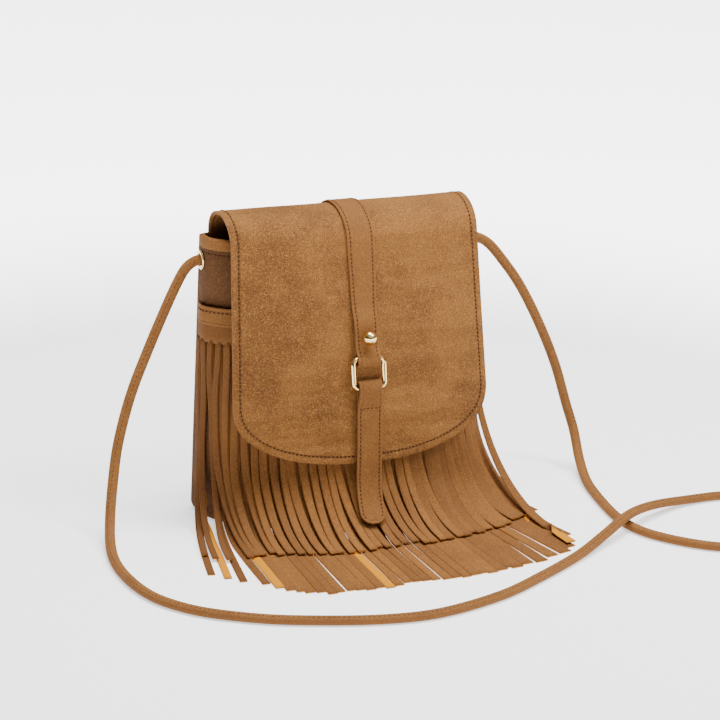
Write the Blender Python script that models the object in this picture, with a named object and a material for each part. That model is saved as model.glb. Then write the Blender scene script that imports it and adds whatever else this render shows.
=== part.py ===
"""Fringed suede shoulder bag: a soft pouch with a flap, a strap with a ring and a hanging tab, two layers of
fringe, and a shoulder strap that leaves through an eyelet in each side seam.

Axes: +X is the viewer's right, the front faces -Y and +Z is up. The bag stands on the plane z = 0, and the origin
is the middle of its base. All sizes are in metres.
"""

import math

import bmesh
import bpy
import numpy as np

# General
CLEARANCE = 0.0003
SUEDE_THICKNESS = 0.0016
LINING_THICKNESS = 0.0008

# Pouch
BAG_HEIGHT = 0.203
BASE_HALF_WIDTH = 0.1085
SIDE_TAPER = 0.0065
MOUTH_HALF_WIDTH = BASE_HALF_WIDTH - SIDE_TAPER
SEAM_Y = 0.022
SEAM_TO_BACK = 0.014
BASE_FRONT_DEPTH = 0.069
MOUTH_FRONT_DEPTH = 0.033
BACK_SQUARENESS = 6.0
FRONT_SQUARENESS_LOW = 2.0
FRONT_SQUARENESS_MOUTH = 2.8
SQUARING_STARTS_BELOW_MOUTH = 0.053
SQUARING_ENDS_BELOW_MOUTH = 0.021
SQUARING_FROM = BAG_HEIGHT - SQUARING_STARTS_BELOW_MOUTH
SQUARING_TO = BAG_HEIGHT - SQUARING_ENDS_BELOW_MOUTH
HEEL_RADIUS = 0.008
HEEL_ANGLE = math.radians(50)
BASE_THICKNESS = 0.002
WALL_COLUMNS = 29
BACK_COLUMNS = 21

# Rolled binding round the mouth
BINDING_DROP = 0.0055
BINDING_THICKNESS = 0.0012

# Fringe
BAND_BELOW_MOUTH = 0.046
BAND_TOP = BAG_HEIGHT - BAND_BELOW_MOUTH
BAND_HEIGHT = 0.013
BAND_THICKNESS = 0.0012
FRINGE_THICKNESS = 0.001
FRINGE_EASE = 0.0006
FRINGE_HEADER = 0.026
FRINGE_CUT_TOP = BAND_TOP - FRINGE_HEADER
STRIP_COUNT = 40
STRIP_WIDTH_SHARE = 0.82
LONG_LEAVES_AT = 0.044
SHORT_LEAVES_AT = 0.052
LONG_TIP_REACH = 0.118
SHORT_TIP_REACH = 0.057
STRAY_LEAVES_AT = 0.100
STRAY_REACH = 0.128
STRAY_NUMBER = 38
FAN_ANGLE = math.radians(31)

# Flap
FLAP_THICKNESS = 0.0016
FLAP_SIDE_INSET = 0.0095
FLAP_SIDE_FLARE = 0.004
FLAP_TOP_HALF_WIDTH = MOUTH_HALF_WIDTH - FLAP_SIDE_INSET
FLAP_LOW_HALF_WIDTH = FLAP_TOP_HALF_WIDTH + FLAP_SIDE_FLARE
FLAP_CORNER_BELOW_MOUTH = 0.111
FLAP_LENGTH_BELOW_MOUTH = 0.155
FLAP_CORNER_Z = BAG_HEIGHT - FLAP_CORNER_BELOW_MOUTH
FLAP_LOW_Z = BAG_HEIGHT - FLAP_LENGTH_BELOW_MOUTH
FLAP_CORNER_SQUARENESS = 2.4
FLAP_BOW_LOW = 0.0116
FLAP_BOW_MOUTH = 0.0062
FLAP_EASE = 0.0005
FLAP_LOW_LIFT = 0.0010
FLAP_ROLL_STARTS_BELOW_MOUTH = 0.001
FLAP_ROLL_FRONT_Z = BAG_HEIGHT - FLAP_ROLL_STARTS_BELOW_MOUTH
FLAP_ROLL_RISE_BACK = 0.0225
FLAP_ROLL_RISE_FRONT = 0.0235
FLAP_ROLL_ROWS = 11
FLAP_COLUMNS = 21
SLOPE_STEP = 0.01

# Centre strap, ring and hanging tab
STRAP_HALF_WIDTH = 0.0085
STRAP_THICKNESS = 0.0015
RING_WIRE_RADIUS = 0.0017
RING_HALF_WIDTH = 0.0116
RING_DROP = 0.0210
RING_CORNER = 0.004
RING_BELOW_MOUTH = 0.0818
RING_TOP_Z = BAG_HEIGHT - RING_BELOW_MOUTH
LOOP_SLACK = 0.0024
STRAP_LIFTS_ABOVE_RING = 0.038
STRAP_CLIMB = 0.0078
STRAP_TAIL = 0.021
TAB_TAIL = 0.024
TAB_LENGTH = 0.0985
TAB_BENDS_AT_Z = 0.043
TAB_BEND_RADIUS = 0.045
TAB_SKEW = 0.007

# Ball stud
STUD_ABOVE_RING = 0.0148
BALL_RADIUS = 0.0052
STUD_FOOT_RADIUS = 0.0058
STUD_FOOT_HEIGHT = 0.0010
STUD_POST_RADIUS = 0.0014
STUD_BACK_RADIUS = 0.0036
STUD_BACK_THICKNESS = 0.0005
STUD_LEVEL_RISE = 0.0004
PUNCH_LENGTH = 0.02

# Magnetic snap
SNAP_ABOVE_BAND = 0.019
SNAP_Z = BAND_TOP + SNAP_ABOVE_BAND
SNAP_RADIUS = 0.009
SNAP_THICKNESS = 0.0021
SNAP_HUB_RADIUS = 0.0034

# Eyelets
EYELET_BELOW_MOUTH = 0.016
EYELET_Z = BAG_HEIGHT - EYELET_BELOW_MOUTH
EYELET_BORE_RADIUS = 0.0042
EYELET_WALL = 0.0005
EYELET_FLANGE_RADIUS = 0.0072
EYELET_FLANGE_HEIGHT = 0.0012
WASHER_THICKNESS = 0.0006
EYELET_SEAT = 0.0006
WASHER_RADIUS = 0.0063

# Shoulder strap
CORD_RADIUS = 0.0036
CORD_FLOOR_Z = 0.0037
CORD_INSIDE = 0.0065
CORD_POINTS = 68
KNOT_RADIUS = 0.0075
KNOT_LENGTH = 0.013

SUEDE = (0.36, 0.19, 0.075)
SMOOTH_SUEDE = (0.33, 0.165, 0.07)
LINING = (0.05, 0.035, 0.025)
GOLD = (0.86, 0.72, 0.45)
STEEL = (0.6, 0.6, 0.6)


def make_material(name, colour, roughness=0.85, metallic=0.0):
    """A Principled material of one colour."""
    material = bpy.data.materials.new(name)
    material.use_nodes = True
    shader = material.node_tree.nodes["Principled BSDF"]
    shader.inputs["Base Color"].default_value = (*colour, 1.0)
    shader.inputs["Roughness"].default_value = roughness
    shader.inputs["Metallic"].default_value = metallic
    return material


def add_mesh(name, points, faces, colour, roughness=0.85, metallic=0.0, smooth=True):
    """Link a closed mesh, with its faces turned outwards."""
    mesh = bpy.data.meshes.new(name)
    mesh.from_pydata([tuple(p) for p in points], [], faces)
    mesh.materials.append(make_material(name + "_material", colour, roughness, metallic))
    form = bmesh.new()
    form.from_mesh(mesh)
    bmesh.ops.recalc_face_normals(form, faces=form.faces)
    for face in form.faces:
        face.smooth = smooth
    form.to_mesh(mesh)
    form.free()
    obj = bpy.data.objects.new(name, mesh)
    bpy.context.scene.collection.objects.link(obj)
    return obj


def grid_faces(rows, columns, start, keep=None):
    """Triangles between the points of a grid that is stored row by row from a start number."""
    faces = []
    for row in range(rows - 1):
        for column in range(columns - 1):
            if keep is None or keep[row][column]:
                a = start + row * columns + column
                faces.append((a, a + 1, a + columns + 1))
                faces.append((a, a + columns + 1, a + columns))
    return faces


def sheet_solid(name, outer, inner, colour, keep=None, **look):
    """A closed sheet between two grids of the same shape. keep says which cells of the grid have material."""
    rows, columns = outer.shape[:2]
    count = rows * columns
    if keep is None:
        keep = np.ones((rows - 1, columns - 1), dtype=bool)
    faces = grid_faces(rows, columns, 0, keep)
    faces += [face[::-1] for face in grid_faces(rows, columns, count, keep)]
    wide = np.pad(keep, 1)
    for row in range(rows):
        for column in range(columns - 1):
            if wide[row][column + 1] != wide[row + 1][column + 1]:
                a = row * columns + column
                faces.append((a, a + 1, a + 1 + count, a + count))
    for row in range(rows - 1):
        for column in range(columns):
            if wide[row + 1][column] != wide[row + 1][column + 1]:
                a = row * columns + column
                faces.append((a, a + columns, a + columns + count, a + count))
    points = np.concatenate([outer.reshape(-1, 3), inner.reshape(-1, 3)])
    used = np.unique(np.array([number for face in faces for number in face]))
    new = np.full(len(points), -1)
    new[used] = np.arange(len(used))
    faces = [tuple(int(new[number]) for number in face) for face in faces]
    return add_mesh(name, points[used], faces, colour, **look)


def revolved_solid(name, profile, centre, axis, steps, colour, **look):
    """A closed ring or plug: a loop of (radius, height) points turned about an axis through a centre.

    A point with no radius closes the solid at its axis.
    """
    axis = np.array(axis, dtype=float)
    side = np.array((0.0, 1.0, 0.0)) if abs(axis[1]) < 0.9 else np.array((1.0, 0.0, 0.0))
    side = side - axis * (side @ axis)
    side = side / np.linalg.norm(side)
    other = np.cross(axis, side)
    points = []
    rings = []
    for radius, height in profile:
        ring = []
        turns = 1 if radius == 0.0 else steps
        for turn in range(turns):
            angle = 2 * math.pi * turn / steps
            ring.append(len(points))
            out = radius * (math.cos(angle) * side + math.sin(angle) * other)
            points.append(np.array(centre) + height * axis + out)
        rings.append(ring)
    faces = []
    loops = list(zip(rings, rings[1:] + rings[:1]))
    for first, second in loops:
        if len(first) == 1 and len(second) == 1:
            continue
        for turn in range(steps):
            after = (turn + 1) % steps
            corners = (
                first[turn % len(first)],
                first[after % len(first)],
                second[after % len(second)],
                second[turn % len(second)],
            )
            faces.append(tuple(dict.fromkeys(corners)))
    return add_mesh(name, points, faces, colour, **look)


def swept_ring(name, path, radius, steps, colour, **look):
    """A wire of round section along a closed path that lies in one plane."""
    path = np.array(path)
    ahead = np.roll(path, -1, axis=0) - np.roll(path, 1, axis=0)
    ahead = ahead / np.linalg.norm(ahead, axis=1)[:, None]
    normal = np.cross(path[1] - path[0], path[len(path) // 3] - path[0])
    normal = normal / np.linalg.norm(normal)
    across = np.cross(ahead, normal)
    angles = 2 * math.pi * np.arange(steps) / steps
    rings = (
        path[:, None, :]
        + radius * np.cos(angles)[None, :, None] * across[:, None, :]
        + radius * np.sin(angles)[None, :, None] * normal[None, None, :]
    )
    count = len(path)
    faces = []
    for turn in range(count):
        after = (turn + 1) % count
        for step in range(steps):
            following = (step + 1) % steps
            faces.append((
                turn * steps + step,
                turn * steps + following,
                after * steps + following,
                after * steps + step,
            ))
    return add_mesh(name, rings.reshape(-1, 3), faces, colour, **look)


def cut_round_hole(obj, name, centre, turn, radius, half_length):
    """Cut a round hole with a hidden cylinder, which stands upright before its turn about X, Y and Z."""
    form = bmesh.new()
    bmesh.ops.create_cone(
        form, cap_ends=True, segments=24, radius1=radius, radius2=radius, depth=2 * half_length
    )
    mesh = bpy.data.meshes.new(name)
    form.to_mesh(mesh)
    form.free()
    cutter = bpy.data.objects.new(name, mesh)
    bpy.context.scene.collection.objects.link(cutter)
    cutter.location = centre
    cutter.rotation_euler = turn
    cutter.hide_render = True
    cutter.display_type = "WIRE"
    modifier = obj.modifiers.new(name, "BOOLEAN")
    modifier.operation = "DIFFERENCE"
    modifier.solver = "EXACT"
    modifier.object = cutter
    return cutter


def blend(share):
    """A smooth step from 0 to 1."""
    share = np.clip(share, 0.0, 1.0)
    return share * share * (3.0 - 2.0 * share)


def half_width(z):
    """Half the pouch's width at a height."""
    return BASE_HALF_WIDTH + (MOUTH_HALF_WIDTH - BASE_HALF_WIDTH) * z / BAG_HEIGHT


def front_depth(z):
    """How far the pouch's front lies ahead of its side seams, in the middle, at a height."""
    return BASE_FRONT_DEPTH + (MOUTH_FRONT_DEPTH - BASE_FRONT_DEPTH) * z / BAG_HEIGHT


def heel_inset(z):
    """How far the wall turns inwards near the floor, on its rounded heel."""
    drop = HEEL_RADIUS * math.sin(HEEL_ANGLE) - z
    return HEEL_RADIUS - math.sqrt(HEEL_RADIUS**2 - drop**2) if drop > 0 else 0.0


def squareness(z, front):
    """The power of the plan outline: 2 is an ellipse, and more is squarer."""
    if not front:
        return BACK_SQUARENESS
    rise = blend((z - SQUARING_FROM) / (SQUARING_TO - SQUARING_FROM))
    return FRONT_SQUARENESS_LOW + (FRONT_SQUARENESS_MOUTH - FRONT_SQUARENESS_LOW) * rise


def wall_at_turns(turns, z, offset, front):
    """Points on the wall at a height, for turns from 0 at the left seam to pi at the right one."""
    power = squareness(z, front)
    width = half_width(z)
    depth = front_depth(z) if front else SEAM_TO_BACK
    ahead = -1.0 if front else 1.0
    turns = np.asarray(turns, dtype=float)
    cosine = -np.cos(turns)
    sideways = np.sign(cosine) * np.abs(cosine) ** (2 / power)
    out = np.abs(np.sin(turns)) ** (2 / power)
    normal_x = np.sign(sideways) * np.abs(sideways) ** (power - 1) / width
    normal_y = ahead * out ** (power - 1) / depth
    length = np.hypot(normal_x, normal_y)
    moved = offset - heel_inset(z)
    x = width * sideways + normal_x / length * moved
    y = SEAM_Y + ahead * (CLEARANCE / 2 + depth * out) + normal_y / length * moved
    return np.stack([x, y, np.full_like(x, z)], axis=1)


def turns_of_shares(shares, front):
    """The turns at shares of the way from seam to seam, measured along the wall at the top of the fringe."""
    turns = np.linspace(0.0, math.pi, 1441)
    points = wall_at_turns(turns, FRINGE_CUT_TOP, 0.0, front)
    length = np.concatenate([[0.0], np.cumsum(np.linalg.norm(np.diff(points, axis=0), axis=1))])
    return np.interp(np.asarray(shares) * length[-1], length, turns)


def wall_point(shares, z, offset, front=True):
    """Points on the pouch's wall at a height, at shares of the way from seam to seam, moved outwards by an offset."""
    return wall_at_turns(turns_of_shares(shares, front), z, offset, front)


def wall_length(z):
    """The length of the front wall from seam to seam at a height."""
    points = wall_at_turns(np.linspace(0.0, math.pi, 181), z, 0.0, True)
    return float(np.linalg.norm(np.diff(points, axis=0), axis=1).sum())


def seam_spacing(count):
    """Shares from 0 to 1, closer together near the seams."""
    even = np.linspace(0.0, 1.0, count)
    return 0.45 * even + 0.55 * blend(even)


def wall_sheet(name, levels, outside, thickness, front, count, colour, **look):
    """A sheet that follows the pouch's wall from seam to seam between two offsets."""
    shares = seam_spacing(count)
    outer = np.stack([wall_point(shares, z, outside, front) for z in levels])
    inner = np.stack([wall_point(shares, z, outside - thickness, front) for z in levels])
    return sheet_solid(name, outer, inner, colour, **look)


def base_plate(name, outline_z, inset, low, thickness, colour, **look):
    """A flat plate in the pouch's outline, moved inwards by an inset."""
    front = wall_point(seam_spacing(WALL_COLUMNS), outline_z, -inset, True)
    back = wall_point(seam_spacing(BACK_COLUMNS), outline_z, -inset, False)[::-1]
    edge = np.concatenate([front, back])
    count = len(edge)
    under = edge.copy()
    under[:, 2] = low
    over = edge.copy()
    over[:, 2] = low + thickness
    faces = [tuple(range(count)), tuple(range(2 * count - 1, count - 1, -1))]
    for turn in range(count):
        after = (turn + 1) % count
        faces.append((turn, after, count + after, count + turn))
    return add_mesh(name, np.concatenate([under, over]), faces, colour, **look)


def build_pouch():
    """The front, back and base, with their lining and the binding round the mouth."""
    heel_top = HEEL_RADIUS * math.sin(HEEL_ANGLE)
    middle = (SQUARING_FROM + SQUARING_TO) / 2
    squaring = [SQUARING_FROM, middle, SQUARING_TO]
    levels = [0.0, heel_top * 0.4, heel_top, SQUARING_FROM / 2, *squaring, BAG_HEIGHT]
    back_levels = [0.0, heel_top * 0.4, heel_top, SQUARING_TO, BAG_HEIGHT]
    sheets = []
    for name, front in (("front_panel", True), ("back_panel", False)):
        rows = levels if front else back_levels
        count = WALL_COLUMNS if front else BACK_COLUMNS
        sheets.append(wall_sheet(name, rows, 0.0, SUEDE_THICKNESS, front, count, SUEDE))
    inset = heel_inset(0.0) + SUEDE_THICKNESS + CLEARANCE
    base_plate("base_panel", 0.0, inset - heel_inset(0.0), 0.0, BASE_THICKNESS, SUEDE)
    lining_low = BASE_THICKNESS + CLEARANCE
    base_plate(
        "lining_base", lining_low, SUEDE_THICKNESS + CLEARANCE, lining_low, LINING_THICKNESS, LINING
    )
    wall_low = lining_low + LINING_THICKNESS + CLEARANCE
    wall_top = BAG_HEIGHT - BINDING_DROP - CLEARANCE
    lining_levels = [wall_low, heel_top, SQUARING_FROM / 2, *squaring, wall_top]
    outside = -(SUEDE_THICKNESS + CLEARANCE)
    for name, front in (("lining_front", True), ("lining_back", False)):
        rows = lining_levels if front else [wall_low, heel_top, SQUARING_TO, wall_top]
        count = WALL_COLUMNS if front else BACK_COLUMNS
        sheets.append(wall_sheet(name, rows, outside, LINING_THICKNESS, front, count, LINING))
    hole = EYELET_BORE_RADIUS + EYELET_WALL + CLEARANCE
    for side, word in ((-1, "left"), (1, "right")):
        centre = (side * half_width(EYELET_Z), SEAM_Y, EYELET_Z)
        for sheet in sheets:
            cutter_name = f"hole_{word}_{sheet.name}"
            cut_round_hole(sheet, cutter_name, centre, (0, math.pi / 2, 0), hole, 0.012)
    build_binding()


def build_binding():
    """The rolled binding that wraps the front wall's top edge, from seam to seam."""
    shares = seam_spacing(WALL_COLUMNS)
    low = BAG_HEIGHT - BINDING_DROP
    outside = CLEARANCE
    inside = -(SUEDE_THICKNESS + CLEARANCE)
    middle = (outside + inside) / 2
    half = (outside - inside) / 2
    outline = [(outside, low), (outside, BAG_HEIGHT)]
    for step in range(1, 3):
        angle = math.pi * step / 3
        outline.append((middle + half * math.cos(angle), BAG_HEIGHT + half * math.sin(angle)))
    outline += [(inside, BAG_HEIGHT), (inside, low)]
    full = half + BINDING_THICKNESS
    cover = [(middle + full, low), (middle + full, BAG_HEIGHT)]
    for step in range(1, 3):
        angle = math.pi * step / 3
        cover.append((middle + full * math.cos(angle), BAG_HEIGHT + full * math.sin(angle)))
    cover += [(middle - full, BAG_HEIGHT), (middle - full, low)]

    def along(profile):
        rows = []
        for offset, z in profile:
            row = wall_point(shares, min(z, BAG_HEIGHT), offset, True)
            row[:, 2] = z
            rows.append(row)
        return np.stack(rows)

    sheet_solid("mouth_binding", along(cover), along(outline), SMOOTH_SUEDE)


def fringe_offset(layer):
    """The outward offset of a fringe layer's inner face: layer 0 is the long one, which lies on the wall."""
    return FRINGE_EASE + layer * (FRINGE_THICKNESS + FRINGE_EASE)


def band_offset():
    """The outward offset of the band's inner face."""
    return fringe_offset(2) - FRINGE_EASE + 2 * CLEARANCE


def corner_share(share):
    """How much a strip belongs to the pouch's rounded end: 0 along the front and 1 at a seam."""
    return float(blend((abs(share - 0.5) / 0.5 - 0.66) / 0.28))


def sweep_direction(share, layer, tangent, wobble):
    """The level direction in which a strip runs out along the floor."""
    if layer == 0:
        lean = -0.10 + 0.17 * blend(share / 0.9)
    else:
        lean = -0.04 + 0.20 * blend(share / 0.7)
    wall_angle = math.atan2(tangent[1], tangent[0])
    excess = max(0.0, abs(wall_angle) - FAN_ANGLE)
    angle = math.atan(lean + wobble)
    if wall_angle < -FAN_ANGLE:
        angle = min(angle, -excess)
    if wall_angle > FAN_ANGLE:
        angle = max(angle, excess)
    return np.array((math.sin(angle), -math.cos(angle), 0.0))


def strip_path(share, layer, leaves_at, reach, wobble, stray):
    """One strip below its slit: down the wall, round a bend and out along the floor.

    It returns the points of its middle line, and the vectors across it row by row, with None on the wall.
    """
    middle_offset = fringe_offset(layer) + FRINGE_THICKNESS / 2
    rest_z = FRINGE_THICKNESS / 2 + layer * (FRINGE_THICKNESS + 2 * FRINGE_EASE)
    wall_levels = np.linspace(FRINGE_CUT_TOP, leaves_at, 3)
    middle = [wall_point([share], z, middle_offset, True)[0] for z in wall_levels]
    step = 0.002
    left = wall_point([share - step], leaves_at, middle_offset, True)[0]
    right = wall_point([share + step], leaves_at, middle_offset, True)[0]
    tangent = (right - left) / np.linalg.norm(right - left)
    across = [None] * len(middle)
    direction = sweep_direction(share, layer, tangent, wobble)
    if stray:
        direction = np.array((0.02, -1.0, 0.0)) / math.hypot(0.02, 1.0)
    sideways = np.array((-direction[1], direction[0], 0.0))
    slope = (BASE_FRONT_DEPTH - MOUTH_FRONT_DEPTH) / BAG_HEIGHT
    first = math.atan(slope * max(0.0, -tangent[0] * direction[1]))
    radius = (leaves_at - rest_z) / (1 - math.sin(first))
    bend_run = radius * math.cos(first)
    start = middle[-1]
    steps = 4
    last = math.pi / 2
    if reach < bend_run:
        last = math.acos(math.cos(first) - reach / radius)
    for number in range(1, steps + 1):
        angle = first + (last - first) * number / steps
        run = radius * (math.cos(first) - math.cos(angle))
        z = leaves_at - radius * (math.sin(angle) - math.sin(first))
        point = start + direction * run
        point[2] = z
        middle.append(point)
        turn = blend(number / steps)
        vector = tangent * (1 - turn) + sideways * turn
        across.append(vector / np.linalg.norm(vector))
    if reach > bend_run:
        point = start + direction * reach
        point[2] = rest_z
        middle.append(point)
        across.append(sideways)
    return np.array(middle), across


def build_comb(name, layer, leaves_at, reach, seed):
    """One layer of fringe: an uncut header under the band, and strips that bend on to the floor."""
    random = np.random.default_rng(seed)
    pitch = 1.0 / STRIP_COUNT
    half = pitch * STRIP_WIDTH_SHARE / 2
    centres = (np.arange(STRIP_COUNT) + 0.5) * pitch
    edges = np.stack([centres - half, centres + half], axis=1).reshape(-1)
    header = [BAND_TOP - 0.002, (BAND_TOP + FRINGE_CUT_TOP) / 2]
    near = fringe_offset(layer)
    far = near + FRINGE_THICKNESS
    outer_rows = [wall_point(edges, z, far) for z in header]
    inner_rows = [wall_point(edges, z, near) for z in header]
    rows_outer = []
    rows_inner = []
    for number, share in enumerate(centres):
        wobble = random.uniform(-0.004, 0.004)
        tip = reach * (1.0 + 0.05 * math.sin(3.0 * share * math.pi)) + random.uniform(-0.0025, 0.0025)
        corner = corner_share(share)
        leaves = leaves_at * (1.0 - 0.72 * corner)
        tip *= 1.0 - 0.80 * corner
        stray = layer == 1 and number == STRAY_NUMBER
        if stray:
            leaves = STRAY_LEAVES_AT
            tip = STRAY_REACH
        width = wall_length(leaves) * pitch * STRIP_WIDTH_SHARE
        middle, across = strip_path(share, layer, leaves, tip, wobble, stray)
        along = np.gradient(middle, axis=0)
        outer = []
        inner = []
        wall_rows = sum(1 for vector in across if vector is None)
        for row, point in enumerate(middle):
            if row < wall_rows:
                pair = [share - half, share + half]
                outer.append(wall_point(pair, point[2], far))
                inner.append(wall_point(pair, point[2], near))
                continue
            vector = across[row]
            normal = np.cross(along[row], vector)
            normal = normal / np.linalg.norm(normal)
            if normal[2] < 0 and row > wall_rows:
                normal = -normal
            if row == wall_rows and normal[1] > 0:
                normal = -normal
            ends = np.array([point - vector * width / 2, point + vector * width / 2])
            outer.append(ends + normal * FRINGE_THICKNESS / 2)
            inner.append(ends - normal * FRINGE_THICKNESS / 2)
        rows_outer.append(np.array(outer))
        rows_inner.append(np.array(inner))
    depth = max(len(rows) for rows in rows_outer)
    keep_rows = len(header)
    total = keep_rows + depth
    outer_grid = np.zeros((total, 2 * STRIP_COUNT, 3))
    inner_grid = np.zeros((total, 2 * STRIP_COUNT, 3))
    outer_grid[:keep_rows] = np.stack(outer_rows)
    inner_grid[:keep_rows] = np.stack(inner_rows)
    keep = np.zeros((total - 1, 2 * STRIP_COUNT - 1), dtype=bool)
    keep[:keep_rows] = True
    for number in range(STRIP_COUNT):
        rows = len(rows_outer[number])
        place = slice(keep_rows, keep_rows + rows)
        outer_grid[place, 2 * number : 2 * number + 2] = rows_outer[number]
        inner_grid[place, 2 * number : 2 * number + 2] = rows_inner[number]
        keep[: keep_rows + rows - 1, 2 * number] = True
    return sheet_solid(name, outer_grid, inner_grid, SUEDE, keep=keep, smooth=False)


def build_fringe():
    """Two layers of fringe and the stitched band that covers their upper edge."""
    build_comb("fringe_long", 0, LONG_LEAVES_AT, LONG_TIP_REACH, 3)
    build_comb("fringe_short", 1, SHORT_LEAVES_AT, SHORT_TIP_REACH, 8)
    outside = band_offset() + BAND_THICKNESS
    levels = [BAND_TOP - BAND_HEIGHT, SQUARING_FROM, BAND_TOP]
    wall_sheet("fringe_band", levels, outside, BAND_THICKNESS, True, WALL_COLUMNS, SMOOTH_SUEDE)


def flap_half_width(z):
    """Half the flap's width at a height."""
    share = np.clip((BAG_HEIGHT - z) / (BAG_HEIGHT - FLAP_CORNER_Z), 0.0, 1.0)
    return FLAP_TOP_HALF_WIDTH + (FLAP_LOW_HALF_WIDTH - FLAP_TOP_HALF_WIDTH) * share


def flap_edge_z(side):
    """The height of the flap's lower edge, at a share of the half width from -1 to 1."""
    power = FLAP_CORNER_SQUARENESS
    drop = (1 - min(1.0, abs(side)) ** power) ** (1 / power)
    return FLAP_CORNER_Z - (FLAP_CORNER_Z - FLAP_LOW_Z) * drop


def flap_front_y(side, z):
    """The inner face of the flap's lining where it hangs in front of the pouch."""
    fall = (BAG_HEIGHT - z) / (BAG_HEIGHT - FLAP_LOW_Z)
    standoff = band_offset() + BAND_THICKNESS + FLAP_EASE
    middle = SEAM_Y - front_depth(z) - standoff - FLAP_LOW_LIFT * fall
    bow = FLAP_BOW_MOUTH + (FLAP_BOW_LOW - FLAP_BOW_MOUTH) * fall
    return middle + bow * side**2


def flap_profile(side, offset):
    """One line of the flap from its root over the roll to its lower edge, moved outwards by an offset."""
    root = np.array((SEAM_Y + SEAM_TO_BACK - SUEDE_THICKNESS, BAG_HEIGHT + CLEARANCE))
    front = np.array((flap_front_y(side, FLAP_ROLL_FRONT_Z), FLAP_ROLL_FRONT_Z))
    lower_z = FLAP_ROLL_FRONT_Z - SLOPE_STEP
    lower = np.array((flap_front_y(side, lower_z), lower_z))
    uphill = (front - lower) / np.linalg.norm(front - lower)
    control = [
        root,
        root + np.array((0.0, FLAP_ROLL_RISE_BACK)),
        front + uphill * FLAP_ROLL_RISE_FRONT,
        front,
    ]
    t = np.linspace(0.0, 1.0, FLAP_ROLL_ROWS)[:, None]
    roll = (
        (1 - t) ** 3 * control[0]
        + 3 * (1 - t) ** 2 * t * control[1]
        + 3 * (1 - t) * t**2 * control[2]
        + t**3 * control[3]
    )
    levels = np.linspace(FLAP_ROLL_FRONT_Z, flap_edge_z(side), 4)[1:]
    hanging = np.array([(flap_front_y(side, z), z) for z in levels])
    line = np.concatenate([roll, hanging])
    along = np.gradient(line, axis=0)
    along = along / np.linalg.norm(along, axis=1)[:, None]
    along[0] = (0.0, 1.0)
    normal = np.stack([along[:, 1], -along[:, 0]], axis=1)
    return line + normal * offset


def flap_grid(offset, inset):
    """The flap's surface as a grid of points: rows run from root to lower edge, columns from left to right."""
    sides = np.sin(np.linspace(-math.pi / 2, math.pi / 2, FLAP_COLUMNS))
    columns = []
    for side in sides:
        line = flap_profile(side, offset)
        x = side * (flap_half_width(line[:, 1]) - inset)
        columns.append(np.stack([x, line[:, 0], line[:, 1]], axis=1))
    return np.stack(columns, axis=1)


def build_flap():
    """The flap's suede and its lining."""
    lining_out = LINING_THICKNESS
    inner = lining_out + CLEARANCE
    sheet_solid("flap_lining", flap_grid(lining_out, 0.0008), flap_grid(0.0, 0.0008), SMOOTH_SUEDE)
    sheet_solid("flap", flap_grid(inner + FLAP_THICKNESS, 0.0), flap_grid(inner, 0.0), SUEDE)


def flap_outside():
    """The offset of the flap's outer face from the inner face of its lining."""
    return LINING_THICKNESS + CLEARANCE + FLAP_THICKNESS


def flap_frame(z):
    """A point of the flap's outer face in its middle at a height, with the ways down and outwards along it."""
    upper = np.array((flap_front_y(0.0, z), z))
    lower = np.array((flap_front_y(0.0, z - SLOPE_STEP), z - SLOPE_STEP))
    down = (lower - upper) / np.linalg.norm(lower - upper)
    out = np.array((down[1], -down[0]))
    return upper + out * flap_outside(), down, out


def rest_level():
    """How far a strap's middle line lies from the flap where it rests on the flap."""
    return CLEARANCE + STRAP_THICKNESS / 2


def tail_level():
    """How far the middle line of a strap's tail lies from the flap, over the stud's back plate."""
    return 2 * CLEARANCE + STUD_BACK_THICKNESS + STRAP_THICKNESS / 2


def bar_level():
    """How far the ring's wire lies from the flap's outer face."""
    return tail_level() + STRAP_THICKNESS / 2 + CLEARANCE + RING_WIRE_RADIUS


def front_level():
    """How far a strap's middle line lies from the flap where it passes over the ring's wire."""
    return bar_level() + RING_WIRE_RADIUS + CLEARANCE + STRAP_THICKNESS / 2


def stacked_level():
    """How far a strap's middle line lies from the flap where it lies on its own tail."""
    return tail_level() + STRAP_THICKNESS + CLEARANCE


def loop_points(bottom, sign):
    """Half a turn in the strap's own frame, from the front layer to the tail, as (down, out) pairs."""
    radius = (front_level() - tail_level()) / 2
    centre = (front_level() + tail_level()) / 2
    angles = np.linspace(0.0, math.pi, 9)[1:-1]
    return [(bottom + sign * radius * math.sin(a), centre + radius * math.cos(a)) for a in angles]


def folded_strip(name, line, widths, shift, colour):
    """A strap of one thickness along a line in the YZ plane, with its own half width and shift at each point."""
    line = np.array(line)
    along = np.gradient(line, axis=0)
    along = along / np.linalg.norm(along, axis=1)[:, None]
    normal = np.stack([along[:, 1], -along[:, 0]], axis=1)
    grids = []
    for side in (1, -1):
        face = line + normal * side * STRAP_THICKNESS / 2
        rows = []
        for point, width, move in zip(face, widths, shift):
            across = np.linspace(-width, width, 3) + move
            rows.append([(x, point[0], point[1]) for x in across])
        grids.append(np.array(rows))
    return sheet_solid(name, grids[0], grids[1], colour)


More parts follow.
